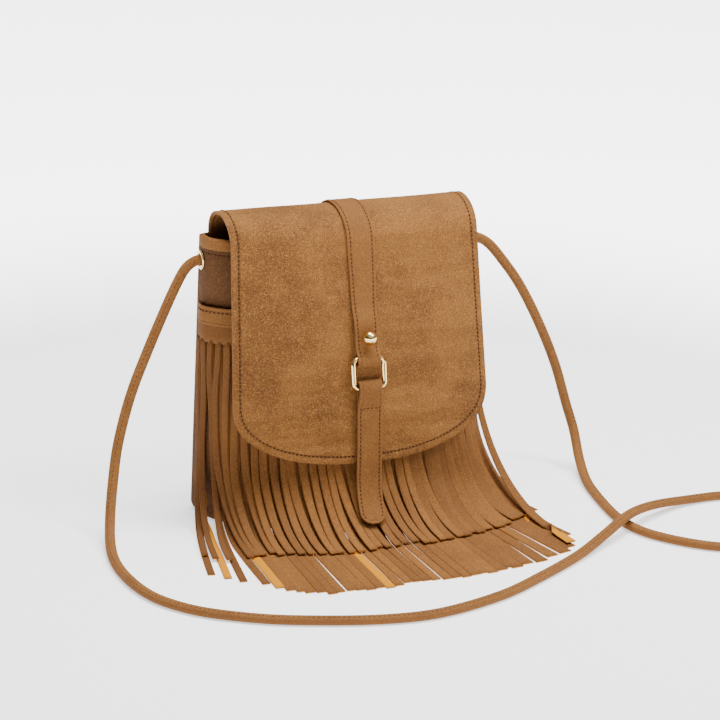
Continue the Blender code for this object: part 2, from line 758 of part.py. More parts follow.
def build_centre_strap():
    """The strap that runs over the flap, loops round the ring's top bar and ends behind itself at the stud."""
    frame, down, out = flap_frame(RING_TOP_Z)
    lifted = RING_TOP_Z + STRAP_LIFTS_ABOVE_RING
    line = []
    for y, z in flap_profile(0.0, flap_outside() + rest_level())[1:FLAP_ROLL_ROWS]:
        line.append((y, z))
    for z in np.linspace(FLAP_ROLL_FRONT_Z, lifted, 4)[1:]:
        point, _, _ = flap_frame(z)
        line.append(tuple(point + out * rest_level()))
    start = (lifted - RING_TOP_Z) / down[1]
    tail_end = -STRAP_TAIL
    step_up = tail_end - 0.004
    climb = -STRAP_CLIMB
    places = [*np.linspace(start, step_up, 4)[1:], climb - 0.006, climb, *np.linspace(climb, 0.0, 5)[1:]]
    for distance in places:
        level = rest_level() + (stacked_level() - rest_level()) * blend((distance - start) / (step_up - start))
        level += (front_level() - stacked_level()) * blend((distance - climb) / -climb)
        line.append(tuple(frame + down * distance + out * level))
    line.append(tuple(frame + down * LOOP_SLACK / 2 + out * front_level()))
    for distance, level in loop_points(LOOP_SLACK, 1):
        line.append(tuple(frame + down * distance + out * level))
    for distance in np.linspace(LOOP_SLACK / 2, tail_end, 6):
        line.append(tuple(frame + down * distance + out * tail_level()))
    widths = [STRAP_HALF_WIDTH] * len(line)
    strap = folded_strip("centre_strap", line, widths, [0.0] * len(line), SMOOTH_SUEDE)
    stud, _, _ = flap_frame(RING_TOP_Z + STUD_ABOVE_RING)
    centre = (0.0, stud[0], stud[1])
    lean = math.atan2(-out[0], out[1])
    cut_round_hole(strap, "stud_hole", centre, (lean, 0, 0), STUD_POST_RADIUS + CLEARANCE, PUNCH_LENGTH)
    return strap


def build_ring():
    """The rectangular wire ring, whose top bar is the axis that it swings on."""
    frame, down, out = flap_frame(RING_TOP_Z)
    top = frame + out * bar_level()
    corners = []
    straight = RING_HALF_WIDTH - RING_CORNER
    for centre_x, centre_d, first in (
        (straight, RING_CORNER, -90.0),
        (straight, RING_DROP - RING_CORNER, 0.0),
        (-straight, RING_DROP - RING_CORNER, 90.0),
        (-straight, RING_CORNER, 180.0),
    ):
        for step in range(6):
            angle = math.radians(first + 18.0 * step)
            corners.append((
                centre_x + RING_CORNER * math.cos(angle),
                centre_d + RING_CORNER * math.sin(angle),
            ))
    path = []
    for x, distance in corners:
        y, z = top + down * distance
        path.append((x, y, z))
    return swept_ring("strap_ring", path, RING_WIRE_RADIUS, 12, GOLD, roughness=0.15, metallic=1.0)


def tab_tip_line(frame, down, out, start):
    """The tab below its loop: straight along the flap, then bent forwards over the fringe."""
    bend_from = (frame[1] - TAB_BENDS_AT_Z) / -down[1]
    line = []
    for distance in np.linspace(start, bend_from, 4)[1:]:
        line.append(tuple(frame + down * distance + out * stacked_level()))
    corner = frame + down * bend_from + out * stacked_level()
    turned = (TAB_LENGTH - bend_from) / TAB_BEND_RADIUS
    for angle in np.linspace(0.0, turned, 9)[1:]:
        along = TAB_BEND_RADIUS * math.sin(angle)
        away = TAB_BEND_RADIUS * (1.0 - math.cos(angle))
        line.append(tuple(corner + down * along + out * away))
    return line


def build_tab():
    """The hanging tab: its upper end loops over the ring's bottom bar and is stitched down behind itself."""
    frame, down, out = flap_frame(RING_TOP_Z)
    frame = frame + down * RING_DROP
    line = []
    for distance in np.linspace(TAB_TAIL, -LOOP_SLACK / 2, 7):
        line.append(tuple(frame + down * distance + out * tail_level()))
    for distance, level in reversed(loop_points(-LOOP_SLACK, -1)):
        line.append(tuple(frame + down * distance + out * level))
    line.append(tuple(frame + out * front_level()))
    bend_end = TAB_TAIL * 0.72
    for distance in np.linspace(0.0, bend_end, 6)[1:]:
        level = front_level() + (stacked_level() - front_level()) * blend(distance / bend_end)
        line.append(tuple(frame + down * distance + out * level))
    line += tab_tip_line(frame, down, out, bend_end)
    line = np.array(line)
    run = np.concatenate([[0.0], np.cumsum(np.linalg.norm(np.diff(line, axis=0), axis=1))])
    left = run[-1] - run
    near_tip = np.clip(STRAP_HALF_WIDTH - left, 0.0, STRAP_HALF_WIDTH * 0.96)
    widths = np.sqrt(STRAP_HALF_WIDTH**2 - near_tip**2)
    hang = np.array([max(0.0, float((point - frame) @ down)) for point in line])
    shift = -TAB_SKEW * (hang / TAB_LENGTH) ** 1.6
    return folded_strip("hanging_tab", line, list(widths), list(shift), SMOOTH_SUEDE)


def build_stud():
    """The ball stud on the strap, with its post through both layers and its back plate on the flap."""
    frame, down, out = flap_frame(RING_TOP_Z)
    distance = -STUD_ABOVE_RING
    axis = (0.0, out[0], out[1])
    point = frame + down * distance
    centre = (0.0, point[0], point[1])
    foot = stacked_level() + STRAP_THICKNESS / 2 + CLEARANCE + STUD_LEVEL_RISE
    ball = foot + STUD_FOOT_HEIGHT + BALL_RADIUS * 0.86
    back_top = CLEARANCE + STUD_BACK_THICKNESS
    profile = [
        (0.0, back_top + CLEARANCE),
        (STUD_POST_RADIUS, back_top + CLEARANCE),
        (STUD_POST_RADIUS, foot),
        (STUD_FOOT_RADIUS, foot),
        (STUD_FOOT_RADIUS, foot + STUD_FOOT_HEIGHT * 0.6),
        (STUD_FOOT_RADIUS * 0.9, foot + STUD_FOOT_HEIGHT),
    ]
    for step in range(10):
        angle = math.radians(-48 + 15.3 * step)
        if angle < math.pi / 2 - 0.05:
            profile.append((BALL_RADIUS * math.cos(angle), ball + BALL_RADIUS * math.sin(angle)))
    profile.append((0.0, ball + BALL_RADIUS))
    revolved_solid("ball_stud", profile, centre, axis, 20, GOLD, roughness=0.12, metallic=1.0)
    plate = [
        (0.0, CLEARANCE),
        (STUD_BACK_RADIUS, CLEARANCE),
        (STUD_BACK_RADIUS, back_top),
        (0.0, back_top),
    ]
    revolved_solid("stud_back", plate, centre, axis, 20, STEEL, roughness=0.3, metallic=1.0)


def build_snap():
    """The two halves of the magnetic snap: one on the front wall and one on the flap's lining."""
    wall = SEAM_Y - front_depth(SNAP_Z)
    slope = math.atan((BASE_FRONT_DEPTH - MOUTH_FRONT_DEPTH) / BAG_HEIGHT)
    axis = (0.0, -math.cos(slope), math.sin(slope))
    seat = (0.0, wall, SNAP_Z)
    low = CLEARANCE
    socket = [
        (SNAP_HUB_RADIUS, low),
        (SNAP_RADIUS, low),
        (SNAP_RADIUS, low + SNAP_THICKNESS * 0.7),
        (SNAP_RADIUS * 0.93, low + SNAP_THICKNESS),
        (SNAP_HUB_RADIUS, low + SNAP_THICKNESS),
    ]
    revolved_solid("snap_socket", socket, seat, axis, 24, GOLD, roughness=0.25, metallic=1.0)
    top = np.array((flap_front_y(0.0, SNAP_Z), SNAP_Z))
    face = (top[0] - wall) * -math.cos(slope) - CLEARANCE
    below = face - SNAP_THICKNESS
    button = [
        (0.0, below),
        (SNAP_RADIUS * 0.93, below),
        (SNAP_RADIUS, below + SNAP_THICKNESS * 0.3),
        (SNAP_RADIUS, face),
        (0.0, face),
    ]
    revolved_solid("snap_button", button, seat, axis, 24, GOLD, roughness=0.25, metallic=1.0)


def build_eyelets():
    """An eyelet in each side seam, with its washer inside the lining."""
    bore = EYELET_BORE_RADIUS
    barrel = bore + EYELET_WALL
    inner_face = -(SUEDE_THICKNESS + CLEARANCE + LINING_THICKNESS + EYELET_SEAT)
    for side, word in ((-1, "left"), (1, "right")):
        centre = (side * half_width(EYELET_Z), SEAM_Y, EYELET_Z)
        axis = (side, 0.0, 0.0)
        seat = CLEARANCE
        top = seat + EYELET_FLANGE_HEIGHT
        washer_top = inner_face - CLEARANCE
        profile = [
            (bore, washer_top - WASHER_THICKNESS),
            (barrel, washer_top - WASHER_THICKNESS),
            (barrel, seat),
            (EYELET_FLANGE_RADIUS - 0.0003, seat),
            (EYELET_FLANGE_RADIUS, seat + 0.3 * EYELET_FLANGE_HEIGHT),
            (EYELET_FLANGE_RADIUS - 0.0006, seat + 0.8 * EYELET_FLANGE_HEIGHT),
            ((EYELET_FLANGE_RADIUS + bore) / 2, top),
            (bore + 0.0005, seat + 0.8 * EYELET_FLANGE_HEIGHT),
            (bore, seat + 0.3 * EYELET_FLANGE_HEIGHT),
        ]
        revolved_solid(f"eyelet_{word}", profile, centre, axis, 20, GOLD, roughness=0.15, metallic=1.0)
        washer = [
            (barrel + CLEARANCE, washer_top - WASHER_THICKNESS),
            (WASHER_RADIUS, washer_top - WASHER_THICKNESS),
            (WASHER_RADIUS, washer_top),
            (barrel + CLEARANCE, washer_top),
        ]
        revolved_solid(
            f"eyelet_washer_{word}", washer, centre, axis, 20, GOLD, roughness=0.25, metallic=1.0
        )


def cord_route():
    """Hand-chosen points of the shoulder strap, from the left eyelet round to the right one."""
    floor = CORD_FLOOR_Z
    over = CORD_FLOOR_Z + 2 * CORD_RADIUS + 4 * CLEARANCE
    seam = half_width(EYELET_Z) + 0.003
    return [
        (-seam, SEAM_Y, EYELET_Z),
        (-0.1135, 0.022, 0.1825),
        (-0.121, 0.022, 0.170),
        (-0.131, 0.021, 0.150),
        (-0.143, 0.020, 0.124),
        (-0.156, 0.018, 0.094),
        (-0.1665, 0.014, 0.062),
        (-0.173, 0.006, 0.0365),
        (-0.180, -0.010, 0.017),
        (-0.187, -0.034, 0.0065),
        (-0.191, -0.060, floor),
        (-0.191, -0.088, floor),
        (-0.187, -0.113, floor),
        (-0.179, -0.133, floor),
        (-0.162, -0.155, floor),
        (-0.135, -0.175, floor),
        (-0.107, -0.189, floor),
        (-0.059, -0.205, floor),
        (-0.017, -0.209, floor),
        (0.032, -0.197, floor),
        (0.072, -0.177, floor),
        (0.113, -0.153, floor + 0.0006),
        (0.143, -0.134, floor + 0.0045),
        (0.172, -0.115, over),
        (0.201, -0.098, floor + 0.0055),
        (0.235, -0.086, floor + 0.0008),
        (0.270, -0.086, floor),
        (0.302, -0.100, floor),
        (0.318, -0.130, floor),
        (0.308, -0.162, floor),
        (0.280, -0.181, floor),
        (0.245, -0.184, floor),
        (0.213, -0.171, floor),
        (0.190, -0.150, floor),
        (0.1755, -0.126, floor),
        (0.172, -0.100, floor),
        (0.176, -0.066, floor),
        (0.183, -0.030, floor + 0.0010),
        (0.1915, 0.000, 0.0115),
        (0.194, 0.016, 0.029),
        (0.189, 0.022, 0.050),
        (0.179, 0.023, 0.081),
        (0.164, 0.023, 0.114),
        (0.146, 0.022, 0.146),
        (0.129, 0.022, 0.169),
        (0.117, 0.022, 0.182),
        (seam, SEAM_Y, EYELET_Z),
    ]


def smooth_route(points, count):
    """Evenly spaced points on a smooth curve through the given ones."""
    points = np.array(points)
    ends = np.concatenate([[2 * points[0] - points[1]], points, [2 * points[-1] - points[-2]]])
    curve = []
    for first, second, third, fourth in zip(ends, ends[1:], ends[2:], ends[3:]):
        for t in np.linspace(0.0, 1.0, 24, endpoint=False):
            curve.append(0.5 * (
                2 * second
                + (third - first) * t
                + (2 * first - 5 * second + 4 * third - fourth) * t**2
                + (3 * second - first - 3 * third + fourth) * t**3
            ))
    curve.append(points[-1])
    curve = np.array(curve)
    run = np.concatenate([[0.0], np.cumsum(np.linalg.norm(np.diff(curve, axis=0), axis=1))])
    at = np.linspace(0.0, run[-1], count)
    return np.stack([np.interp(at, run, curve[:, axis]) for axis in range(3)], axis=1)


def build_shoulder_strap():
    """The shoulder strap as a plain tube along its route, with a knot at each end inside the pouch."""
    ends = [(side * (half_width(EYELET_Z) - CORD_INSIDE), SEAM_Y, EYELET_Z) for side in (-1, 1)]
    points = [ends[0], *smooth_route(cord_route(), CORD_POINTS), ends[1]]
    curve = bpy.data.curves.new("shoulder_strap", "CURVE")
    curve.dimensions = "3D"
    curve.bevel_depth = CORD_RADIUS
    curve.bevel_resolution = 2
    curve.use_fill_caps = True
    spline = curve.splines.new("POLY")
    spline.points.add(len(points) - 1)
    for point, place in zip(spline.points, points):
        point.co = (*place, 1.0)
    curve.materials.append(make_material("shoulder_strap_material", SMOOTH_SUEDE))
    strap = bpy.data.objects.new("shoulder_strap", curve)
    bpy.context.scene.collection.objects.link(strap)
    for side, word in ((-1, "left"), (1, "right")):
        face = side * (half_width(EYELET_Z) - CORD_INSIDE - CLEARANCE)
        profile = [(0.0, 0.0)]
        for step in range(1, 8):
            angle = math.pi * step / 8
            profile.append((
                KNOT_RADIUS * math.sin(angle) ** 0.7,
                KNOT_LENGTH * (1 - math.cos(angle)) / 2,
            ))
        profile.append((0.0, KNOT_LENGTH))
        revolved_solid(
            f"strap_knot_{word}", profile, (face, SEAM_Y, EYELET_Z), (-side, 0, 0), 20, SMOOTH_SUEDE
        )


def main():
    """Clear the scene and build the bag."""
    for obj in list(bpy.data.objects):
        bpy.data.objects.remove(obj, do_unlink=True)
    build_pouch()
    build_fringe()
    build_flap()
    build_centre_strap()
    build_ring()
    build_tab()
    build_stud()
    build_snap()
    build_eyelets()
    build_shoulder_strap()


main()
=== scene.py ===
"""The looks of the fringed suede shoulder bag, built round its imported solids.

Axes and units are those of the solids: +X is the viewer's right, the front faces -Y, +Z is up, and sizes are
in metres. Each sub-assembly is a class with its own sizes, and each finish is a small frozen dataclass.
"""

import logging
import math
from dataclasses import dataclass
from enum import Enum

import bmesh
import bpy
import numpy as np
from mathutils import Matrix, Vector


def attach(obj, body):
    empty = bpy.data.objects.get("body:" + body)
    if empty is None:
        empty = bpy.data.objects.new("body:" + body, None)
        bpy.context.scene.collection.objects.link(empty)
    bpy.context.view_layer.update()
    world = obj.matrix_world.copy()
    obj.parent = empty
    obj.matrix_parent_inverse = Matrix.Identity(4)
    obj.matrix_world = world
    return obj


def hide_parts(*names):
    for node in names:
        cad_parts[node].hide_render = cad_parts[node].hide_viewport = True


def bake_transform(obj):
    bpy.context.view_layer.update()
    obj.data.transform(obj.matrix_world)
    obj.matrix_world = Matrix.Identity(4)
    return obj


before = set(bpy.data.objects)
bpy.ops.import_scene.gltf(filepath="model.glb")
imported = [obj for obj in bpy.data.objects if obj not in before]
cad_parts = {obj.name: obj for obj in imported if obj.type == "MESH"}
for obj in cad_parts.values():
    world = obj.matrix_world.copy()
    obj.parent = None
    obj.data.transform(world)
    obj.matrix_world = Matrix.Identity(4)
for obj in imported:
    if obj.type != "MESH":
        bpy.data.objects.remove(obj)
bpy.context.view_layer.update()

Array = np.ndarray
Pair = tuple[float, float]
Triple = tuple[float, float, float]
Colour = Triple
Piece = bpy.types.Object
Material = bpy.types.Material
Tree = bpy.types.NodeTree
Node = bpy.types.Node
Socket = bpy.types.NodeSocket
logger = logging.getLogger("bag")

CLEARANCE = 0.0003
SIDES = ((-1, "left"), (1, "right"))

# How close front pieces lie to the wall at the seams, and over which share; how evenly columns are spaced
PINCH_AT_SEAM = 0.35
PINCH_OVER = 0.05
EVEN_PART = 0.45

# The bevel of cut edges, the powers of flat sections, and a distance for pieces whose rim doesn't show
EDGE_ROUNDING = 0.00035
SQUARE = 7.0
LESS_SQUARE = 4.0
NO_RIM = 0.01

# How fine the suede's nap and its fibres are
NAP_SCALE = 560.0
GRAIN_SCALE = 1600.0


class Body(Enum):
    """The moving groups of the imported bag."""

    POUCH = "pouch"
    FLAP = "flap"
    RING = "ring"
    TAB = "tab"


class Layer(Enum):
    """The two layers of fringe, counted outwards from the pouch."""

    LONG = 0
    SHORT = 1


# Small helpers for arrays


def smooth_step(share: Array) -> Array:
    """A smooth step from 0 to 1: three squares less two cubes of the share, held between its ends."""
    held = np.clip(share, 0.0, 1.0)
    return held * held * (3.0 - 2.0 * held)


def ramp(value: Array | float, start: float, length: float) -> Array:
    """A smooth step that is 0 at the start and 1 a length further on, where a negative length runs back."""
    return smooth_step((np.asarray(value) - start) / length)


def unit(vectors: Array) -> Array:
    """The vectors, each divided by its length."""
    return vectors / np.linalg.norm(vectors, axis=-1, keepdims=True)


def run_along(points: Array) -> Array:
    """The distance from the first point to each point of a line."""
    steps = np.linalg.norm(np.diff(points, axis=0), axis=1)
    return np.concatenate([[0.0], np.cumsum(steps)])


def run_down(grid: Array) -> Array:
    """The distance from the first row to each point of a grid, down its own column."""
    steps = np.linalg.norm(np.diff(grid, axis=0), axis=2)
    return np.concatenate([np.zeros((1, grid.shape[1])), np.cumsum(steps, axis=0)])


def read_at(at: Array, run: Array, points: Array) -> Array:
    """Points between the given ones, found at distances along their line by linear interpolation."""
    return np.stack([np.interp(at, run, column) for column in points.T], axis=1)


def in_middle(pair: Array) -> Array:
    """A (y, z) pair as a point or a direction in the bag's middle plane."""
    return np.array((0.0, *pair))


def resample(points: Array, count: int) -> Array:
    """Evenly spaced points on a line.

    Args:
        points: The line's points, one a row.
        count: How many points to return.

    Returns:
        The points, found by linear interpolation at even distances.
    """
    run = run_along(points)
    return read_at(np.linspace(0.0, run[-1], count), run, points)


def soften(points: Array, passes: int) -> Array:
    """Smooth a line, whose inner points move halfway to the middle of their two neighbours.

    Args:
        points: The line.
        passes: How many times over.

    Returns:
        The smoother line, with the same ends.
    """
    points = points.copy()
    for _ in range(passes):
        points[1:-1] = 0.5 * points[1:-1] + 0.25 * (points[:-2] + points[2:])
    return points


def spline(points: Array, per_span: int) -> Array:
    """A smooth curve through the points.

    Args:
        points: The points that the curve passes through.
        per_span: How many points to work out from each given point to the next.

    Returns:
        Points of the curve: a cubic between each two points, whose slope at a point is half the way from the
        point before it to the point after it.
    """
    ends = np.concatenate([[2 * points[0] - points[1]], points, [2 * points[-1] - points[-2]]])
    a, b, c, d = ends[:-3], ends[1:-2], ends[2:-1], ends[3:]
    t = np.linspace(0.0, 1.0, per_span, endpoint=False)[None, :, None]
    a, b, c, d = (part[:, None] for part in (a, b, c, d))
    curve = 0.5 * (
        2 * b + (c - a) * t + (2 * a - 5 * b + 4 * c - d) * t**2 + (3 * b - a - 3 * c + d) * t**3
    )
    return np.concatenate([curve.reshape(-1, points.shape[1]), points[-1:]])


# Meshes from grids of points


def put_mesh(name: str, points: Array, quads: Array, marks: dict[str, Array] | None = None) -> Piece:
    """Make a smooth mesh of quads whose faces point outwards.

    Args:
        name: The piece's name.
        points: The vertices, one a row.
        quads: Four vertex numbers a row.
        marks: Values kept at the vertices, by attribute name.

    Returns:
        The new object, linked to the scene.
    """
    mesh = bpy.data.meshes.new(name)
    mesh.vertices.add(len(points))
    mesh.vertices.foreach_set("co", points.astype(np.float32).ravel())
    mesh.loops.add(quads.size)
    mesh.loops.foreach_set("vertex_index", quads.astype(np.int32).ravel())
    mesh.polygons.add(len(quads))
    mesh.polygons.foreach_set("loop_start", np.arange(len(quads), dtype=np.int32) * 4)
    mesh.update(calc_edges=True)
    mesh.validate()
    for key, values in (marks or {}).items():
        attribute = mesh.attributes.new(key, "FLOAT", "POINT")
        attribute.data.foreach_set("value", values.astype(np.float32).ravel())
    form = bmesh.new()
    form.from_mesh(mesh)
    bmesh.ops.recalc_face_normals(form, faces=form.faces)
    form.to_mesh(mesh)
    form.free()
    mesh.polygons.foreach_set("use_smooth", np.ones(len(mesh.polygons), dtype=bool))
    obj = bpy.data.objects.new(name, mesh)
    bpy.context.scene.collection.objects.link(obj)
    return obj


def tube_quads(rings: int, sides: int, capped: bool = True) -> Array:
    """Join the points of a tube, stored ring by ring.

    Args:
        rings: How many rings it has.
        sides: How many points each ring has.
        capped: Whether quads close its two ends. Otherwise its last ring is joined to its first.

    Returns:
        The quads.
    """
    ring = np.arange(rings if not capped else rings - 1)[:, None]
    side = np.arange(sides)[None, :]
    after = (side + 1) % sides
    following = (ring + 1) % rings
    wall = np.stack(
        [ring * sides + side, ring * sides + after, following * sides + after, following * sides + side],
        axis=-1,
    ).reshape(-1, 4)
    if not capped:
        return wall
    step = np.arange(sides // 2 - 1)
    cap = np.stack([step, step + 1, sides - 2 - step, sides - 1 - step], axis=-1)
    return np.concatenate([wall, cap[:, ::-1], cap + (rings - 1) * sides])


def sheet_quads(rows: int, columns: int) -> Array:
    """Join the points of a closed sheet: an outer grid, and an inner one stored after it.

    Args:
        rows: The rows of each grid.
        columns: Their columns.

    Returns:
        The quads of both grids and of the rim that joins them.
    """
    row = np.arange(rows - 1)[:, None] * columns
    column = np.arange(columns - 1)[None, :]
    corner = (row + column).reshape(-1)
    face = np.stack([corner, corner + 1, corner + columns + 1, corner + columns], axis=-1)
    count = rows * columns
    top = np.arange(columns)
    right = np.arange(1, rows) * columns + columns - 1
    bottom = (rows - 1) * columns + np.arange(columns - 2, -1, -1)
    left = np.arange(rows - 2, 0, -1) * columns
    loop = np.concatenate([top, right, bottom, left])
    after = np.roll(loop, -1)
    rim = np.stack([loop, after, after + count, loop + count], axis=-1)
    return np.concatenate([face, face[:, ::-1] + count, rim])


def rim_distance(grid: Array, sides: tuple[bool, bool, bool, bool]) -> Array:
    """How far each point of a grid lies from the nearest of its chosen edges, along the grid's own lines.

    Args:
        grid: Points in rows and columns.
        sides: Whether the first row, last row, first column and last column count as edges.

    Returns:
        The least of the distances, measured along the row or the column to each edge.
    """
    from_top = run_down(grid)
    from_left = run_down(grid.swapaxes(0, 1)).T
    every = [from_top, from_top[-1:] - from_top, from_left, from_left[:, -1:] - from_left]
    chosen = [distance for distance, use in zip(every, sides) if use]
    return np.min(np.stack(chosen), axis=0)


def make_sheet(name: str, outer: Array, inner: Array, rim: Array | None = None) -> Piece:
    """A closed sheet between two grids of the same shape, with its cut edges rounded a little.

    Args:
        name: The piece's name.
        outer: The outer grid of points.
        inner: The inner grid of points.
        rim: The distance of each grid point from the piece's edge, kept for its stitch groove.

    Returns:
        The new object.
    """
    rows, columns = outer.shape[:2]
    points = np.concatenate([outer.reshape(-1, 3), inner.reshape(-1, 3)])
    if rim is None:
        rim = rim_distance(outer, (True, True, True, True))
    marks = {"rim": np.concatenate([rim.ravel(), rim.ravel()])}
    obj = put_mesh(name, points, sheet_quads(rows, columns), marks)
    bevel = obj.modifiers.new("rounded_edge", "BEVEL")
    bevel.width = EDGE_ROUNDING
    bevel.segments = 2
    bevel.limit_method = "ANGLE"
    bevel.angle_limit = math.radians(50)
    return obj


def carry_section(path: Array, across: Array, normal: Array, half_width: Array, half_thickness: float,
                  sides: int, power: float) -> tuple[Array, Array, Array]:
    """Carry a rounded flat section along a path.

    The section is a superellipse: its width share and its thickness share, each raised to the power, add up
    to one.

    Args:
        path: The middle of each ring.
        across: The unit vector along each ring's width.
        normal: The unit vector through each ring's thickness.
        half_width: Half the width at each ring.
        half_thickness: Half the thickness.
        sides: How many points the section has.
        power: 2 gives an ellipse, and more is squarer.

    Returns:
        The points ring by ring, the distance of each from the section's edge, and how far each faces inwards,
        from 0 on the outer face to 1 on the inner one.
    """
    angle = 2 * math.pi * (np.arange(sides) + 0.5) / sides
    wide = np.sign(np.cos(angle)) * np.abs(np.cos(angle)) ** (2 / power)
    thick = np.sign(np.sin(angle)) * np.abs(np.sin(angle)) ** (2 / power)
    wide = wide / np.abs(wide).max()
    width = np.broadcast_to(half_width, (len(path),))[:, None]
    points = (
        path[:, None]
        + (width * wide[None, :])[:, :, None] * across[:, None]
        + half_thickness * thick[None, :, None] * normal[:, None]
    )
    rim = width * (1 - np.abs(wide))[None, :]
    under = np.broadcast_to((thick < 0).astype(float)[None, :], rim.shape)
    return points.reshape(-1, 3), rim.reshape(-1), under.reshape(-1)


@dataclass(frozen=True)
class StitchRow:
    """A row of stitches of one size."""

    length: float = 0.0018
    width: float = 0.0011
    height: float = 0.00038
    pitch: float = 0.0029
    sides: int = 6
    rings: int = 5
    end_share: float = 0.94

    def sew(self, name: str, places: Array, normals: Array, breaks: list[int] | None = None) -> Piece:
        """Lay a stitch at each place, pointing along the row.

        Each stitch is a small ellipsoid, of rings whose size follows the cosine of the way from its middle.

        Args:
            name: The piece's name.
            places: The middles of the stitches, in order.
            normals: The surface's outward unit vector at each place.
            breaks: Numbers of the places at which a further row begins.

        Returns:
            One object with all the stitches.
        """
        ahead = np.zeros_like(places)
        cuts = [0, *(breaks or []), len(places)]
        for first, last in zip(cuts, cuts[1:]):
            ahead[first:last] = np.gradient(places[first:last], axis=0)
        ahead = unit(ahead)
        beside = unit(np.cross(normals, ahead))
        lean = np.linspace(-self.end_share, self.end_share, self.rings) * math.pi / 2
        turn = 2 * math.pi * np.arange(self.sides) / self.sides
        shape = np.stack(
            [
                np.repeat(np.sin(lean), self.sides) * self.length / 2,
                (np.cos(lean)[:, None] * np.cos(turn)[None, :]).ravel() * self.width / 2,
                (np.cos(lean)[:, None] * np.sin(turn)[None, :]).ravel() * self.height,
            ],
            axis=1,
        )
        axes = np.stack([ahead, beside, normals], axis=1)
        points = places[:, None] + shape @ axes
        one = tube_quads(self.rings, self.sides)
        count = self.rings * self.sides
        quads = one[None] + (np.arange(len(places)) * count)[:, None, None]
        return put_mesh(name, points.reshape(-1, 3), quads.reshape(-1, 4))


# Finishes


class Nodes:
    """Adds nodes to a tree with their values, and links them."""

    def __init__(self, tree: Tree) -> None:
        """Keep the tree that the nodes go into."""
        self.tree = tree

    def add(self, kind: str, **settings: object) -> Node:
        """Add a node.

        Args:
            kind: The name of its type.
            **settings: Its properties, by name.

        Returns:
            The node.
        """
        node = self.tree.nodes.new(kind)
        for key, value in settings.items():
            setattr(node, key, value)
        return node

    def put(self, socket: Socket, value: object) -> None:
        """Link or set an input.

        Args:
            socket: The input.
            value: Another node's output, which is linked to it, or a plain value.
        """
        if isinstance(value, Socket):
            self.tree.links.new(value, socket)
        else:
            socket.default_value = value

    def feed(self, node: Node, **inputs: object) -> None:
        """Set or link a node's inputs by name, in which _ stands for a space."""
        for key, value in inputs.items():
            self.put(node.inputs[key.replace("_", " ")], value)

    def value(self, kind: str, output: int | str, inputs: dict[int | str, object],
              **settings: object) -> Socket:
        """Add a node, fill its inputs and take one of its outputs.

        Args:
            kind: The name of its type.
            output: Which output is taken, by name or number.
            inputs: What goes into its inputs, by name or number.
            **settings: Its properties, by name.

        Returns:
            The output.
        """
        node = self.add(kind, **settings)
        for key, given in inputs.items():
            self.put(node.inputs[key], given)
        return node.outputs[output]

    def noise(self, vector: Socket, scale: object, detail: float, rough: float) -> Socket:
        """Soft noise from 0 to 1 at a scale, with a number of finer layers and their strength."""
        inputs = {"Vector": vector, "Scale": scale, "Detail": detail, "Roughness": rough}
        return self.value("ShaderNodeTexNoise", "Fac", inputs)

    def reach(self, value: Socket, low: object, high: object) -> Socket:
        """A smooth mask that is 0 up to a low value and 1 from a high one."""
        inputs = {"Value": value, "From Min": low, "From Max": high}
        return self.value("ShaderNodeMapRange", "Result", inputs, interpolation_type="SMOOTHSTEP")

    def maths(self, operation: str, a: object, b: object) -> Socket:
        """The result of an arithmetic operation on two values."""
        return self.value("ShaderNodeMath", 0, {0: a, 1: b}, operation=operation)

    def times(self, a: object, b: object) -> Socket:
        """The product of two values."""
        return self.maths("MULTIPLY", a, b)

    def plus(self, a: object, b: object) -> Socket:
        """The sum of two values."""
        return self.maths("ADD", a, b)

    def mix(self, share: object, a: object, b: object) -> Socket:
        """A colour between two colours, at a share."""
        return self.value("ShaderNodeMix", 2, {0: share, 6: a, 7: b}, data_type="RGBA")

    def bump(self, height: Socket, strength: float, depth: float, **more: object) -> Socket:
        """A normal that follows a height."""
        inputs = {"Height": height, "Strength": strength, "Distance": depth, **more}
        return self.value("ShaderNodeBump", "Normal", inputs)

    def attribute(self, name: str) -> Socket:
        """A value that the piece keeps at its vertices."""
        return self.value("ShaderNodeAttribute", "Fac", {}, attribute_name=name)


def start_group(name: str, inputs: dict[str, str],
                outputs: dict[str, str]) -> tuple[Tree, Nodes, object, Node]:
    """Begin a shader node group.

    Args:
        name: The group's name.
        inputs: The kind of socket of each input, by name.
        outputs: The kind of socket of each output, by name.

    Returns:
        The group's tree, its Nodes, what it is given, by name, and its output node.
    """
    tree = bpy.data.node_groups.new(name, "ShaderNodeTree")
    for way, sockets in (("INPUT", inputs), ("OUTPUT", outputs)):
        for label, kind in sockets.items():
            tree.interface.new_socket(label, in_out=way, socket_type=f"NodeSocket{kind}")
    nodes = Nodes(tree)
    return tree, nodes, nodes.add("NodeGroupInput").outputs, nodes.add("NodeGroupOutput")


